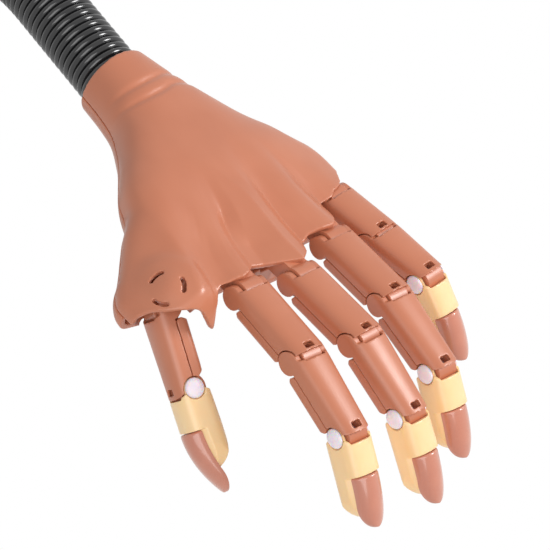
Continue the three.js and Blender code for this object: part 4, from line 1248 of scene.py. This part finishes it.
@dataclass(frozen=True)
class HandForm:
    """Outer form of the hand, by share of the way from the wrist to the knuckle edge."""

    wrist: float = 14.6
    wall: float = 2.2
    parting: float = -2.0
    gap: float = Make.seat_gap
    tendon_start: float = 0.5
    crease_depth: float = 0.9
    crease_width: float = 0.011
    creases: Point = (0.145, 0.205)
    thumb_fall: float = 0.42
    thenar_depth: float = 6.0
    thenar_place: float = -46.0
    thenar_spread: float = 14.0
    thumb: Thumb = field(default_factory=Thumb)
    thumb_side: Pairs = (
        (0, -14.6), (0.125, -16), (0.24, -19), (0.355, -26.5), (0.56, -42.5), (0.73, -54), (0.9, -62),
        (1, -62.5),
    )
    little_side: Pairs = (
        (0, 14.6), (0.15, 19), (0.3, 25.5), (0.45, 31.5), (0.62, 39.5), (0.75, 44.6), (0.88, 47), (1, 47),
    )
    back_height: Pairs = ((0, 14.6), (0.2, 13.6), (0.5, 12), (0.8, 10.2), (1, 9.4))
    palm_depth: Pairs = ((0, 14.6), (0.3, 15.5), (0.7, 15), (1, 13))
    fullness: Pairs = ((0, 2), (0.2, 2.3), (0.6, 2.8), (1, 3.4))
    roof_edge: Pairs = (
        (-63, 88), (-59.5, 90.8), (-56, 95.2), (-52, 98.6), (-49, 100), (-47, 100.9), (-45.5, 101.5),
        (-44, 102.8), (-42.4, 104), (-41.2, 104.8), (-40.4, 105), (-39.4, 104.2), (-38.2, 101.4), (-37, 99),
        (-35, 97.8), (-31, 98), (-24.8, 99.1), (-20.4, 96.4), (-16, 95.8), (-12.4, 100), (-4.5, 104),
        (2.5, 100.9), (7.7, 94.6), (12, 94.6), (20.2, 95.9), (25, 92.5), (29, 88), (35, 82.3), (38.1, 81.4),
        (42, 79.2), (46, 73.8),
    )
    knuckle_height: Pairs = (
        (-63, 9.4), (-52, 9.7), (-46.6, 9.3), (-42, 7), (-38, 4.8), (-33, 3.9), (-29, 5.1), (-24.8, 5.8),
        (-20.5, 4.7), (-17, 2.1), (-13.5, 4.5), (-9, 7.1), (-4.5, 7.8), (1, 6.9), (6.5, 3.0), (10.5, 4.9),
        (15, 6.6), (20.2, 7.1), (24.5, 5.5), (28.3, 2.4), (32, 4.2), (38.1, 5.4), (46, 4.6),
    )
    plain_height: Pairs = (
        (-63, 9.4), (-52, 9.7), (-46.6, 9.3), (-42, 6.4), (-38, 3.8), (-32, 2.8), (28, 2.8), (46, 1.6),
    )
    parting_drop: Pairs = ((-62, -10.5), (-45, -4.2), (-30, 0), (80, 0))
    web_start: float = 96.5
    web_bend: float = 0.17
    edge_search: Point = (-1.3, 0.9)
    halvings: int = 26
    edge_crowding: float = 0.11

    def crest(self, t: float, y: float, inset: float) -> float:
        """Height of the back, which flows from a smooth curve at the wrist into ridges over the knuckles.

        Args:
            t: Share of the way from the wrist.
            y: Place across.
            inset: How far the form is drawn in; the form inside has no ridges.

        Returns:
            The height.
        """
        share = smooth_step(self.tendon_start, 1, t)
        front = along(self.plain_height if inset else self.knuckle_height, y / (0.35 + 0.65 * t))
        return along(self.back_height, t) * (1 - share) + front * share - inset

    def fall(self, t: float, y: float) -> float:
        """How far the form falls away towards the thumb."""
        out = max(0.0, -30 - y)
        return -self.thumb_fall * smooth_step(0.35, 0.75, t) * out * out / (out + 5)

    def point(self, t: float, angle: float, inset: float = 0.0) -> Vector:
        """Point of the form.

        Args:
            t: Share of the way from the wrist.
            angle: Angle round the section in radians, from the little finger's side over the back.
            inset: How far the form is drawn in.

        Returns:
            The point, from the wrist's centre.
        """
        left, right = along(self.thumb_side, t) + inset, along(self.little_side, t) - inset
        power = 2 / along(self.fullness, t)
        c, s = math.cos(angle), math.sin(angle)
        y = (left + right) / 2 + (right - left) / 2 * math.copysign(abs(c) ** power, c)
        lift = abs(s) ** power
        folds = [math.exp(-(((t - at) / self.crease_width) ** 2)) for at in self.creases]
        crease = self.crease_depth * sum(folds)
        mound = math.exp(-(((y - self.thenar_place) / self.thenar_spread) ** 2))
        thenar = self.thenar_depth * (inset == 0) * mound * smooth_step(0.45, 0.8, t)
        above = (self.crest(t, y, inset) - crease * (inset == 0)) * lift
        below = (along(self.palm_depth, t) - inset + thenar) * lift
        x, z = t * along(self.roof_edge, y), (above if s > 0 else -below) + self.fall(t, y)
        if s > 0 and not inset:
            near, height = self.dome_at(x, y)
            z += (height - z) * near * smooth_step(0.5, 0.9, lift)
            z -= self.web_bend * max(0.0, x - self.web_start) ** 2 * smooth_step(33, 37, -y)
        return Vector((x, y, z))

    def dome_at(self, x: float, y: float) -> Point:
        """How much a place of the back belongs to the thumb's dome, and the dome's height there."""
        cx, cy, cz = self.thumb.dome
        slope = math.radians(self.thumb.lean)
        away = math.hypot(x - cx, (y - cy) / math.cos(slope))
        rise = self.thumb.dome_profile(away) / math.cos(slope)
        return 1 - smooth_step(self.thumb.dome_radius + 0.5, self.thumb.dome_radius + 8, away), (
            cz + (y - cy) * math.tan(slope) + rise
        )

    def edge_height(self, y: float, side: int) -> float:
        """Height of a shell's edge along the parting line, on its own side of the gap."""
        return self.parting + along_straight(self.parting_drop, y) + side * self.gap / 2

    def meets_parting(self, t: float, start: float, end: float, side: int) -> float:
        """Angle between two angles at which the section crosses a shell's edge."""

        def over(angle: float) -> float:
            """Height of the section over the edge at an angle."""
            place = self.point(t, angle)
            return place.z - self.edge_height(place.y, side)

        low, high = start, end
        for _ in range(self.halvings):
            middle = (low + high) / 2
            if (over(middle) > 0) == (over(high) > 0):
                high = middle
            else:
                low = middle
        return (low + high) / 2

    def skin(self, side: int, rows: int, columns: int) -> Work:
        """Shell of one side of the parting line, with its wall.

        Args:
            side: 1 for the back, -1 for the palm.
            rows: Steps from the wrist to the knuckles.
            columns: Steps across.

        Returns:
            The closed shell.
        """
        mesh = bmesh.new()
        grid = []
        low, high = self.edge_search
        for row in range(rows + 1):
            t = row / rows
            right = self.meets_parting(t, low, high, side)
            left = self.meets_parting(t, math.pi - high, math.pi - low, side)
            start, end = (right, left) if side > 0 else (left, 2 * math.pi + right)
            ring = []
            for k in range(columns + 1):
                u = k / columns
                eased = u - self.edge_crowding * math.sin(2 * math.pi * u)
                ring.append(mesh.verts.new(self.point(t, start + (end - start) * eased)))
            grid.append(ring)
        for lower, upper in zip(grid, grid[1:]):
            for k in range(columns):
                mesh.faces.new((lower[k], lower[k + 1], upper[k + 1], upper[k]))
        bmesh.ops.recalc_face_normals(mesh, faces=mesh.faces)
        middle = grid[len(grid) // 2][columns // 2]
        mesh.normal_update()
        if middle.normal.z * side < 0:
            bmesh.ops.reverse_faces(mesh, faces=mesh.faces)
        work = Work.drawn(mesh)
        wall = work.obj.modifiers.new("wall", "SOLIDIFY")
        wall.thickness = self.wall
        wall.offset = -1
        wall.use_even_offset = True
        return work.settle()


def along_straight(pairs: Pairs, at: float) -> float:
    """Value between pairs of place and value, on straight lines."""
    if at <= pairs[0][0]:
        return pairs[0][1]
    for (x0, y0), (x1, y1) in zip(pairs, pairs[1:]):
        if at <= x1:
            return y0 + (y1 - y0) * (at - x0) / (x1 - x0)
    return pairs[-1][1]


@dataclass(frozen=True)
class Arm:
    """Hose where it leaves the wrist and the collar: heading, size, seat and the spigot inside it."""

    yaw: float = -3.0
    rise: float = 4.0
    hose: float = 12.5
    seat: float = 6.0
    spigot: float = 5.2


@dataclass
class Hand:
    """Two shells of the hand, the plug that they grip and the screws that hold them together."""

    frame: Matrix
    make: Make = field(default_factory=Make)
    form: HandForm = field(default_factory=HandForm)
    thumb: Thumb = field(default_factory=Thumb)
    arm: Arm = field(default_factory=Arm)
    swivel: Swivel = field(default_factory=Swivel)
    plug: float = 12.2
    plug_bore: float = 5.7
    screw_places: Sequence[Point] = ((27, -9), (27, 13), (58, -30), (47, 20))
    screw_head: float = 2.9
    screw_shank: float = 1.4
    screw_seat: float = -8.0
    screw_end: float = 6.0
    screw_boss: float = 4.0
    palm_clear: float = 11.0
    grain: float = 0.36

    def wrist(self) -> Matrix:
        """Frame of the hose's end at the wrist."""
        return turn(self.arm.yaw, Axis.Z) @ turn(self.arm.rise, Axis.Y)

    def wrist_rod(self, radius: float, start: float, end: float) -> Work:
        """Rod along the hose at the wrist."""
        return Work.rod(Axis.X, radius, (start, end)).placed(self.wrist())

    def hose_room(self) -> Work:
        """Room for the hose, the plug's flange and its tail."""
        flange = self.arm.seat + self.form.gap
        grip = flange + 3 + self.form.gap
        room = self.wrist_rod(self.arm.hose + self.make.run_gap, -self.make.far, flange)
        return room.join(
            self.wrist_rod(self.plug + self.form.gap, flange - 1, grip),
            self.wrist_rod(self.plug_bore + self.form.gap, flange, grip + 6),
        )

    def knuckle_room(self, digit: Digit) -> Work:
        """Room round a knuckle for the ears as the finger bends and spreads."""
        m = self.make
        half, radius = m.half + 3, m.ear + 0.6
        low, high = m.roof_reach
        ahead = [(low, m.ear), (high, m.top), (high, m.far), (15, m.far), (15, m.ear)]
        return m.across(radius, 0, half).join(
            m.across(m.barrel + m.seat_gap, 0, half),
            Work.block((0, 15), (-half, half), (-m.far, radius)),
            Work.prism(ahead, Plane.XZ, -half, half),
        ).placed(digit.knuckle())

    def thumb_room(self) -> Work:
        """Ball of room for the thumb's ears as they turn and swivel."""
        steps, room = 24, self.thumb.room
        angles = [math.pi * k / steps - math.pi / 2 for k in range(1, steps)]
        profile = [(0.0, -room), *[(room * math.cos(a), room * math.sin(a)) for a in angles], (0.0, room)]
        return Work.turned(profile, 48).placed(self.thumb.frame())

    def dome_slots(self) -> list[Work]:
        """Three arc slots through the dome."""
        t = self.thumb
        made = []
        for middle in t.slot_places:
            start, end = middle - t.slot_span / 2, middle + t.slot_span / 2
            line = Outline().arc((0, 0), t.slot_ring + t.slot_width / 2, start, end)
            line.arc((0, 0), t.slot_ring - t.slot_width / 2, end, start)
            made.append(Work.prism(line, Plane.XY, -6, 20).placed(t.dome_frame()))
        return made

    def disc_room(self) -> Work:
        """Room under the dome for the thumb base's disc."""
        t = self.thumb
        top = t.disc_top + self.form.gap
        return Work.rod(Axis.Z, t.disc_radius + 0.5, (-self.make.far, top)).placed(t.dome_frame())

    def back_shell(self) -> Work:
        """Back of the hand: one moulded cover with ridges, creases, the dome's slots and the web."""
        shell = self.form.skin(1, 110, 120).whole(self.grain * 1.5)
        rooms = [self.knuckle_room(digit) for digit in FINGERS]
        shell.cut(self.hose_room(), self.thumb_room(), self.disc_room(), *self.dome_slots(), *rooms)
        return shell.moulded(self.grain, rounds=3, share=0.6)

    def palm_edge(self) -> list[Point]:
        """Outline of what is left open in front of the palm shell, stepped behind each knuckle."""
        index, middle, ring, little = [digit.hinge[0] - self.palm_clear for digit in FINGERS]
        edge = [(84, -80), (84, -35.5), (index, -35.5), (index, -14.5), (middle, -14.5), (middle, 8)]
        return edge + [(ring, 8), (ring, 28.2), (little, 28.2), (little, 60), (150, 60), (150, -80)]

    def knuckle_wall(self) -> Work:
        """Walls behind the knuckles, with a slot for each link."""
        thick, gap = 2.4, self.form.gap
        edge = self.palm_edge()[1:10]
        walls = [
            Work.block(
                (min(x0, x) - thick, max(x0, x) - gap),
                (min(y0, y) - thick / 2, max(y0, y) + thick / 2),
                (-self.make.far, self.make.far),
            )
            for (x0, y0), (x, y) in zip(edge, edge[1:])
        ]
        wall = walls[0].join(*walls[1:])
        half = self.make.tongue_width / 2 + 2.8
        low, high = -self.make.tongue_under - 1, self.make.pocket_top + 0.5
        back = -self.swivel.back - 2
        slot = [Work.block((back, 0), (-half, half), (low, high)).placed(d.knuckle()) for d in FINGERS]
        return wall.cut(*slot)

    def below_parting(self) -> Work:
        """Everything under the parting line."""
        line = [(y, self.form.edge_height(y, -1)) for y in (80, -30, -45, -62)]
        slope = (line[-1][1] - line[-2][1]) / (line[-1][0] - line[-2][0])
        end = (-80, line[-1][1] + slope * (-80 - line[-1][0]))
        return Work.prism([*line, end, (-80, -80), (80, -80)], Plane.YZ, -self.make.far, 200)

    def inside(self, inset: float) -> Work:
        """Closed form of the hand, drawn in by a distance."""
        rows = [0.06 + 0.99 * k / 24 for k in range(25)]
        angles = round_angles(64)
        return Work.loft([[self.form.point(t, angle, inset) for angle in angles] for t in rows])

    def swivel_post(self, digit: Digit) -> Work:
        """Post under a knuckle link, on its boss."""
        w, low = self.swivel, -self.swivel.half
        boss = Work.rod(Axis.Z, w.boss, (-self.make.far, low - self.form.gap), (-w.back, 0))
        return boss.join(Work.rod(Axis.Z, w.post, (low - 1, w.half), (-w.back, 0))).placed(digit.knuckle())

    def palm_shell(self) -> Work:
        """Palm side: the cover, its screw columns, knuckle walls and the posts that the links swivel on."""
        far, gap = self.make.far, self.form.gap
        fittings = self.knuckle_wall()
        fittings.join(*[Work.rod(Axis.Z, self.screw_boss, (-far, far), place) for place in self.screw_places])
        fittings.keep(self.inside(self.form.wall / 2), self.below_parting())
        shell = self.form.skin(-1, 60, 72).join(fittings)
        ahead = Work.prism(self.palm_edge(), Plane.XY, -2 * far, 2 * far)
        cuts = [ahead, self.hose_room(), self.thumb_room()]
        for place in self.screw_places:
            cuts.append(Work.rod(Axis.Z, self.screw_shank + gap, (-far, self.screw_end), place))
            cuts.append(Work.rod(Axis.Z, self.screw_head + gap, (-far, self.screw_seat), place))
        shell.cut(*cuts, *[self.knuckle_room(digit) for digit in FINGERS])
        posts = [self.swivel_post(digit) for digit in FINGERS]
        posts[0].join(*posts[1:]).keep(self.inside(self.form.wall / 2))
        return shell.join(posts[0]).moulded(self.grain, rounds=3, share=0.5)

    def plug_body(self) -> Work:
        """Plug that the shells grip: a spigot in the hose, a flange and a tail."""
        flange = self.arm.seat + self.form.gap
        grip = flange + 3 + self.form.gap
        plug = self.wrist_rod(self.arm.spigot, -12, flange + 1)
        plug.join(
            self.wrist_rod(self.plug, flange, flange + 3),
            self.wrist_rod(self.plug_bore, flange + 2, grip + 5),
        )
        return plug.broken_edges(0.3)

    def screw(self, place: Point) -> Work:
        """Pan-head screw with a cross recess."""
        seat = self.screw_seat - self.form.gap
        head, shank = self.screw_head, self.screw_shank
        profile = [(0, seat - 2.2), (head * 0.55, seat - 2.15), (head * 0.85, seat - 1.8), (head, seat - 1.1)]
        profile += [(head, seat), (shank, seat), (shank, self.screw_end - 1), (0, self.screw_end)]
        body = Work.turned(profile, 40)
        for angle in (0, 90):
            arm = Work.block((-1.8, 1.8), (-0.4, 0.4), (seat - 4, seat - 1.2)).placed(turn(angle, Axis.Z))
            body.cut(arm)
        return body.broken_edges(0.12).placed(shift(*place))

    def build(self) -> None:
        """Build and dress the hand's own pieces."""
        shown(self.back_shell(), "back_shell_look", BROWN, self.frame, "hand")
        shown(self.palm_shell(), "palm_shell_look", BROWN, self.frame, "hand")
        shown(self.plug_body(), "wrist_plug_look", HOSE, self.frame, "hand")
        for k, place in enumerate(self.screw_places, 1):
            shown(self.screw(place), f"palm_screw_{k}_look", STEEL, self.frame, "hand")


@dataclass
class Gooseneck:
    """Ribbed hose from the clamp's collar to the wrist, in lengths round hidden joints."""

    arm: Arm = field(default_factory=Arm)
    groove: float = 11.2
    bore: float = 6.0
    sections: int = 6
    ribs: int = 15
    straight_at_wrist: float = 45.0
    bend: float = 75.0
    straight_at_base: float = 90.0
    foot: float = 19.6
    reach: float = 8.0
    sides: int = 64
    rib_fullness: float = 0.62

    def __post_init__(self) -> None:
        """Work out the sizes that follow from the route."""
        self.angle = math.radians(self.arm.rise)
        self.bend_length = self.bend * (math.pi / 2 + self.angle)
        whole = self.straight_at_wrist + self.bend_length + self.straight_at_base + self.arm.seat
        self.section = whole / self.sections
        self.pitch = self.section / self.ribs
        c, s = math.cos(self.angle), math.sin(self.angle)
        self.wrist_x = self.straight_at_wrist * c + self.bend * s + self.bend
        self.wrist_z = self.foot + self.straight_at_base + self.bend * c - self.straight_at_wrist * s

    def wrist_frame(self) -> Matrix:
        """Frame of the hand: at the wrist, with its axes along the model's."""
        place = turn(self.arm.yaw, Axis.Z) @ Vector((self.wrist_x, 0, self.wrist_z))
        return Matrix.Translation(place)

    def place(self, s: float) -> tuple[Vector, Vector, Vector]:
        """Place on the hose's middle line.

        Args:
            s: Distance from the wrist.

        Returns:
            The place, the way ahead towards the clamp, and the way out of the bend.
        """
        c, si = math.cos(self.angle), math.sin(self.angle)
        start_x = self.wrist_x - self.straight_at_wrist * c
        start_z = self.wrist_z + self.straight_at_wrist * si
        centre = Vector((start_x - self.bend * si, 0, start_z - self.bend * c))
        travelled = min(max(s - self.straight_at_wrist, 0.0), self.bend_length)
        angle = self.angle - travelled / self.bend
        ahead = Vector((-math.cos(angle), 0, math.sin(angle)))
        out = Vector((math.sin(angle), 0, math.cos(angle)))
        at = centre + out * self.bend + ahead * (s - self.straight_at_wrist - travelled)
        return at, ahead, out

    def ring(self, s: float, radius: float) -> list[Vector]:
        """Ring of points round the hose."""
        at, _, out = self.place(s)
        across = Vector((0, 1, 0))
        angles = round_angles(self.sides)
        return [at + out * (radius * math.cos(a)) + across * (radius * math.sin(a)) for a in angles]

    def rib_profile(self, share: float) -> float:
        """Radius at a share of the way from one groove to the next: a round rib and a narrow groove."""
        wave = abs(math.sin(math.pi * share)) ** self.rib_fullness
        return self.groove + (self.arm.hose - self.groove) * wave

    def joint_at(self, number: int) -> float:
        """Distance from the wrist to the joint between a length and the next one towards the wrist."""
        return -self.arm.seat + (self.sections - number) * self.section

    def stretch(self, start: float, end: float) -> Work:
        """Ribbed tube between two grooves, with its bore.

        Args:
            start: Distance from the wrist where it starts.
            end: Distance where it ends.

        Returns:
            The closed tube.
        """
        count = max(1, round((end - start) / self.pitch))
        fine = 10
        rings = []
        for k in range(count * fine + 1):
            s = start + (end - start) * k / (count * fine)
            rings.append(self.ring(s, self.rib_profile((k % fine) / fine)))
        bore_steps = max(2, count // 2)
        for k in range(bore_steps, -1, -1):
            rings.append(self.ring(start + (end - start) * k / bore_steps, self.bore))
        return Work.loft(rings, closed=True)

    def build(self) -> None:
        """Build a stretch round each hidden joint and one at each end."""
        bodies = ["clamp", "gooseneck_2", "gooseneck_3", "gooseneck_4", "gooseneck_5", "hand"]
        half = self.section / 2
        inner = [self.joint_at(n) + half for n in range(1, self.sections + 1)]
        middles = [self.joint_at(0), *inner, -self.arm.seat]
        turned_arm = turn(self.arm.yaw, Axis.Z)
        for n in range(len(middles) - 1):
            name = f"hose_stretch_{n}"
            start, end = self.on_groove(middles[n + 1]), self.on_groove(middles[n])
            node = (f"hose_{n}",) if n else ()
            piece = finished(self.stretch(start, end), name, HOSE, turned_arm, node, crease=70)
            if n in (0, self.sections):
                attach(piece, bodies[0] if n == 0 else bodies[-1])
                continue
            at, ahead, _ = self.place(self.joint_at(n))
            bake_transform(piece)

    def on_groove(self, s: float) -> float:
        """Nearest groove to a distance from the wrist."""
        return -self.arm.seat + round((s + self.arm.seat) / self.pitch) * self.pitch


@dataclass
class Clamp:
    """Table clamp: frame, jaw pad, collar, and the screw with its pad and knob."""

    gap: float = Make.seat_gap
    run_gap: float = Make.run_gap
    pad_thickness: float = 2.0
    width: float = 26.0
    jaw_depth: float = 24.0
    back: float = -34.0
    spine: float = 12.0
    upper_jaw: float = 13.7
    opening: float = 50.0
    lower_jaw: float = 15.0
    screw: float = 5.0
    screw_core: float = 4.0
    thread_depth: float = 0.9
    thread_pitch: float = 4.0
    table_room: float = 30.0
    free_screw: float = 26.0
    pad_radius: float = 14.0
    pad_height: float = 6.0
    knob: float = 17.0
    knob_height: float = 13.0
    knob_lobes: int = 6
    lobe_depth: float = 1.6
    pad_groove: Point = (1.0, 0.6)
    pad_groove_pitch: int = 4
    collar: float = 16.0
    collar_height: float = 17.0
    collar_floor: float = 3.0
    collar_stub: float = 6.0
    arm: Arm = field(default_factory=Arm)

    @property
    def under(self) -> float:
        """Underside of the upper jaw."""
        return self.pad_thickness + self.gap

    @property
    def top(self) -> float:
        """Top of the frame."""
        return self.under + self.upper_jaw

    @property
    def floor(self) -> float:
        """Upper face of the lower jaw."""
        return self.under - self.opening

    @property
    def knob_top(self) -> float:
        """Upper face of the knob."""
        return self.pad_thickness - self.opening - self.lower_jaw - self.free_screw

    def frame(self) -> Work:
        """Cast C-shaped frame with a threaded lower jaw."""
        inner, low = self.back + self.spine, self.floor - self.lower_jaw
        line = Outline().to((self.jaw_depth, self.top), (self.back + 5, self.top))
        line.curve((self.back, self.top), (self.back, self.top - 5)).to((self.back, low + 5))
        line.curve((self.back, low), (self.back + 5, low))
        line.to((self.screw + 9, low), (self.screw + 9, self.floor), (inner + 3, self.floor))
        line.curve((inner, self.floor), (inner, self.floor + 3)).to((inner, self.under - 3))
        line.curve((inner, self.under), (inner + 3, self.under)).to((self.jaw_depth, self.under))
        half = self.width / 2
        body = Work.prism(line, Plane.XZ, -half, half).broken_edges(1.2, 4)
        return body.cut(
            Work.rod(Axis.Z, self.screw + self.gap, (low - 1, self.floor + 1)),
            Work.rod(Axis.Z, self.collar_stub + self.gap, (self.top - 8, self.top + 1)),
        )

    def base_collar(self) -> Work:
        """Collar that the hose stands in."""
        foot, bore = self.top + self.gap, self.arm.hose + self.run_gap
        rim = foot + self.collar_height
        profile = [(0, self.top - 7), (self.collar_stub, self.top - 7), (self.collar_stub, foot)]
        profile += [(self.collar - 0.5, foot), (self.collar, foot + 0.5), (self.collar, rim - 1.8)]
        profile += [(self.collar - 0.5, rim - 0.6), (self.collar - 1.5, rim), (bore + 0.4, rim)]
        profile += [(bore, rim - 0.4), (bore, foot + self.collar_floor)]
        profile += [(self.arm.spigot, foot + self.collar_floor), (self.arm.spigot, rim + 4), (0, rim + 5)]
        return Work.turned(profile, 96)

    def jaw_pad(self) -> Work:
        """Rubber pad under the upper jaw, with grip grooves."""
        half = self.width / 2
        start = self.back + self.spine + 5
        pad = Work.block((start, self.jaw_depth), (-half, half), (0, self.pad_thickness)).broken_edges(0.4)
        wide, deep = self.pad_groove
        places = range(int(start) + self.pad_groove_pitch, int(self.jaw_depth) - 2, self.pad_groove_pitch)
        return pad.cut(*[Work.block((x, x + wide), (-half - 1, half + 1), (-1, deep)) for x in places])

    def pressure_pad(self) -> Work:
        """Pad that the screw presses up, with a socket for the screw's end."""
        top, low = -self.table_room, -self.table_room - self.pad_height
        radius, socket = self.pad_radius, self.screw_core + self.gap
        profile = [(0, top), (radius - 0.8, top), (radius, top - 0.8), (radius, top - 2.4)]
        profile += [(radius - 0.5, top - 3.2), (radius - 4, low + 0.4), (radius - 4.6, low)]
        profile += [(socket, low), (socket, top - 2.4), (0, top - 2.4)]
        return Work.turned(profile, 80)

    def thread(self) -> Work:
        """Clamp screw with its rounded trapezoid thread."""
        low, neck = self.knob_top - self.knob_height + 3, self.knob_top - 0.5
        shoulder = -self.table_room - self.pad_height - 0.4
        end = -self.table_room - 2.4 - self.gap
        angles, per_turn = round_angles(48), 24
        count = int((shoulder - neck) / self.thread_pitch * per_turn)

        def plain(z: float) -> list[Vector]:
            """Ring of the screw's core."""
            return [Vector((self.screw_core * math.cos(a), self.screw_core * math.sin(a), z)) for a in angles]

        rings = [plain(low), plain(neck)]
        for k in range(count + 1):
            z = neck + (shoulder - neck) * k / count
            rings.append([self.thread_point(z, a) for a in angles])
        return Work.loft([*rings, plain(shoulder), plain(end)])

    def thread_point(self, z: float, angle: float) -> Vector:
        """Point of the thread's flank at a height and an angle."""
        share = (z / self.thread_pitch - angle / (2 * math.pi)) % 1.0
        crest = smooth_step(0.12, 0.34, share) - smooth_step(0.62, 0.84, share)
        radius = self.screw - self.thread_depth * (1 - crest)
        return Vector((radius * math.cos(angle), radius * math.sin(angle), z))

    def knob_body(self) -> Work:
        """Lobed knob, bored for the screw's end."""
        low, high = self.knob_top - self.knob_height, self.knob_top - 0.8
        rim = []
        for a in round_angles(180):
            radius = self.knob - self.lobe_depth + self.lobe_depth * math.cos(self.knob_lobes * a)
            rim.append((radius * math.cos(a), radius * math.sin(a)))
        body = Work.prism(rim, Plane.XY, low, high).broken_edges(1.4, 4, 60)
        return body.cut(Work.rod(Axis.Z, self.screw_core + self.gap, (low + 2.7, high + 2)))

    def build(self) -> None:
        """Build and dress the clamp."""
        stay = Matrix.Identity(4)
        shown(self.frame(), "clamp_frame_look", ENAMEL, stay, "clamp")
        shown(self.base_collar(), "base_collar_look", ENAMEL, stay, "clamp")
        shown(self.jaw_pad(), "jaw_pad_look", RUBBER, stay, "clamp")
        shown(self.pressure_pad(), "pressure_pad_look", ENAMEL, stay, "pressure_pad")
        shown(self.thread(), "clamp_screw_look", STEEL, stay, "clamp_screw")
        shown(self.knob_body(), "clamp_knob_look", KNOB, stay, "clamp_screw")


@dataclass(frozen=True)
class Studio:
    """Camera at the photograph's angle, pale floor and soft light."""

    target: Triple = (100.66, -10.96, 0.0)
    right: Triple = (0.6554, 0.6902, 0.3068)
    up: Triple = (-0.6576, 0.3217, 0.6812)
    back: Triple = (0.3715, -0.6482, 0.6647)
    distance: float = 708.27
    focal_pixels: float = 2089.1
    picture: int = 550
    sensor: float = 36.0
    floor: float = -104.0
    floor_size: float = 4.0
    room_light: float = 0.36

    def camera(self, hand: Matrix) -> None:
        """Place the camera.

        Args:
            hand: Frame of the hand, in millimetres.
        """
        data = bpy.data.cameras.new("camera")
        data.sensor_width = self.sensor
        data.lens = self.focal_pixels / self.picture * self.sensor
        data.clip_end = 20
        camera = bpy.data.objects.new("camera", data)
        made = Matrix((self.right, self.up, self.back)).transposed().to_4x4()
        made.translation = (hand @ Vector(self.target) + Vector(self.back) * self.distance) * MM
        camera.matrix_world = made
        bpy.context.scene.collection.objects.link(camera)
        bpy.context.scene.camera = camera

    def seen(self, tree: bpy.types.NodeTree) -> bpy.types.NodeSocket:
        """1 where the camera, a reflection or a clear piece looks straight at a surface, else 0."""
        path = add(tree, "LightPath")
        first_two = {0: path.outputs["Is Camera Ray"], 1: path.outputs["Is Glossy Ray"]}
        both = add(tree, "Math", first_two, operation="ADD")
        all_three = {0: both.outputs[0], 1: path.outputs["Is Transmission Ray"]}
        return add(tree, "Math", all_three, operation="ADD", use_clamp=True).outputs[0]

    def white(self, material: bpy.types.Material) -> None:
        """Paint a stage surface that shows plain white and still throws soft light back.

        Args:
            material: Material to fill.
        """
        material.use_nodes = True
        tree = material.node_tree
        shader = tree.nodes["Principled BSDF"]
        shader.inputs["Base Color"].default_value = linear("e8e8e8")
        shader.inputs["Roughness"].default_value = 0.9
        glow = add(tree, "Emission", {"Color": linear("ffffff"), "Strength": 1.0})
        mix = add(tree, "MixShader", {0: self.seen(tree), 1: shader.outputs[0], 2: glow.outputs[0]})
        tree.links.new(mix.outputs[0], tree.nodes["Material Output"].inputs["Surface"])

    def ground(self) -> None:
        """Lay the pale floor under the clamp."""
        mesh = bmesh.new()
        size = self.floor_size
        corners = [(-size, -size), (size, -size), (size, size), (-size, size)]
        mesh.faces.new([mesh.verts.new((x, y, self.floor * MM)) for x, y in corners])
        data = bpy.data.meshes.new("floor")
        mesh.to_mesh(data)
        mesh.free()
        floor = bpy.data.objects.new("floor", data)
        bpy.context.scene.collection.objects.link(floor)
        material = bpy.data.materials.new("pale_floor")
        self.white(material)
        floor.data.materials.append(material)

    def world(self) -> None:
        """Plain white room light; the room itself shows white."""
        world = bpy.data.worlds.new("room")
        bpy.context.scene.world = world
        world.use_nodes = True
        tree = world.node_tree
        tree.nodes.clear()
        dim = add(tree, "Background", {"Color": linear("ffffff"), "Strength": self.room_light})
        bright = add(tree, "Background", {"Color": linear("ffffff"), "Strength": 1.0})
        mix = add(tree, "MixShader", {0: self.seen(tree), 1: dim.outputs[0], 2: bright.outputs[0]})
        out = add(tree, "OutputWorld")
        tree.links.new(mix.outputs[0], out.inputs["Surface"])

    def lamp(self, name: str, hand: Matrix, way: Triple, power: float, size: float) -> None:
        """Hang a soft square lamp that looks at the hand.

        Args:
            name: Name of the lamp.
            hand: Frame of the hand, in millimetres.
            way: Direction from the hand to the lamp, in metres.
            power: Power in watts.
            size: Side of the lamp in metres.
        """
        data = bpy.data.lights.new(name, "AREA")
        data.energy = power
        data.size = size
        lamp = bpy.data.objects.new(name, data)
        aim = (hand @ Vector(self.target)) * MM
        lamp.location = aim + Vector(way)
        lamp.rotation_euler = Vector(way).to_track_quat("Z", "Y").to_euler()
        bpy.context.scene.collection.objects.link(lamp)

    def build(self, hand: Matrix) -> None:
        """Set up camera, floor and light round the hand."""
        self.camera(hand)
        self.ground()
        self.world()
        self.lamp("key", hand, (0.4, 0.6, 0.8), 8.0, 0.35)
        self.lamp("fill", hand, (0.6, -0.9, 0.7), 8.5, 1.0)
        view = bpy.context.scene.view_settings
        view.view_transform = "Standard"


def main() -> None:
    """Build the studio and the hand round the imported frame."""
    logging.basicConfig(level=logging.INFO, format="%(message)s")
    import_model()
    gooseneck = Gooseneck()
    wrist = gooseneck.wrist_frame()
    Studio().build(wrist)
    Hand(wrist).build()
    Fingers(wrist).build()
    gooseneck.build()
    Clamp().build()


if __name__ == "__main__":
    main()
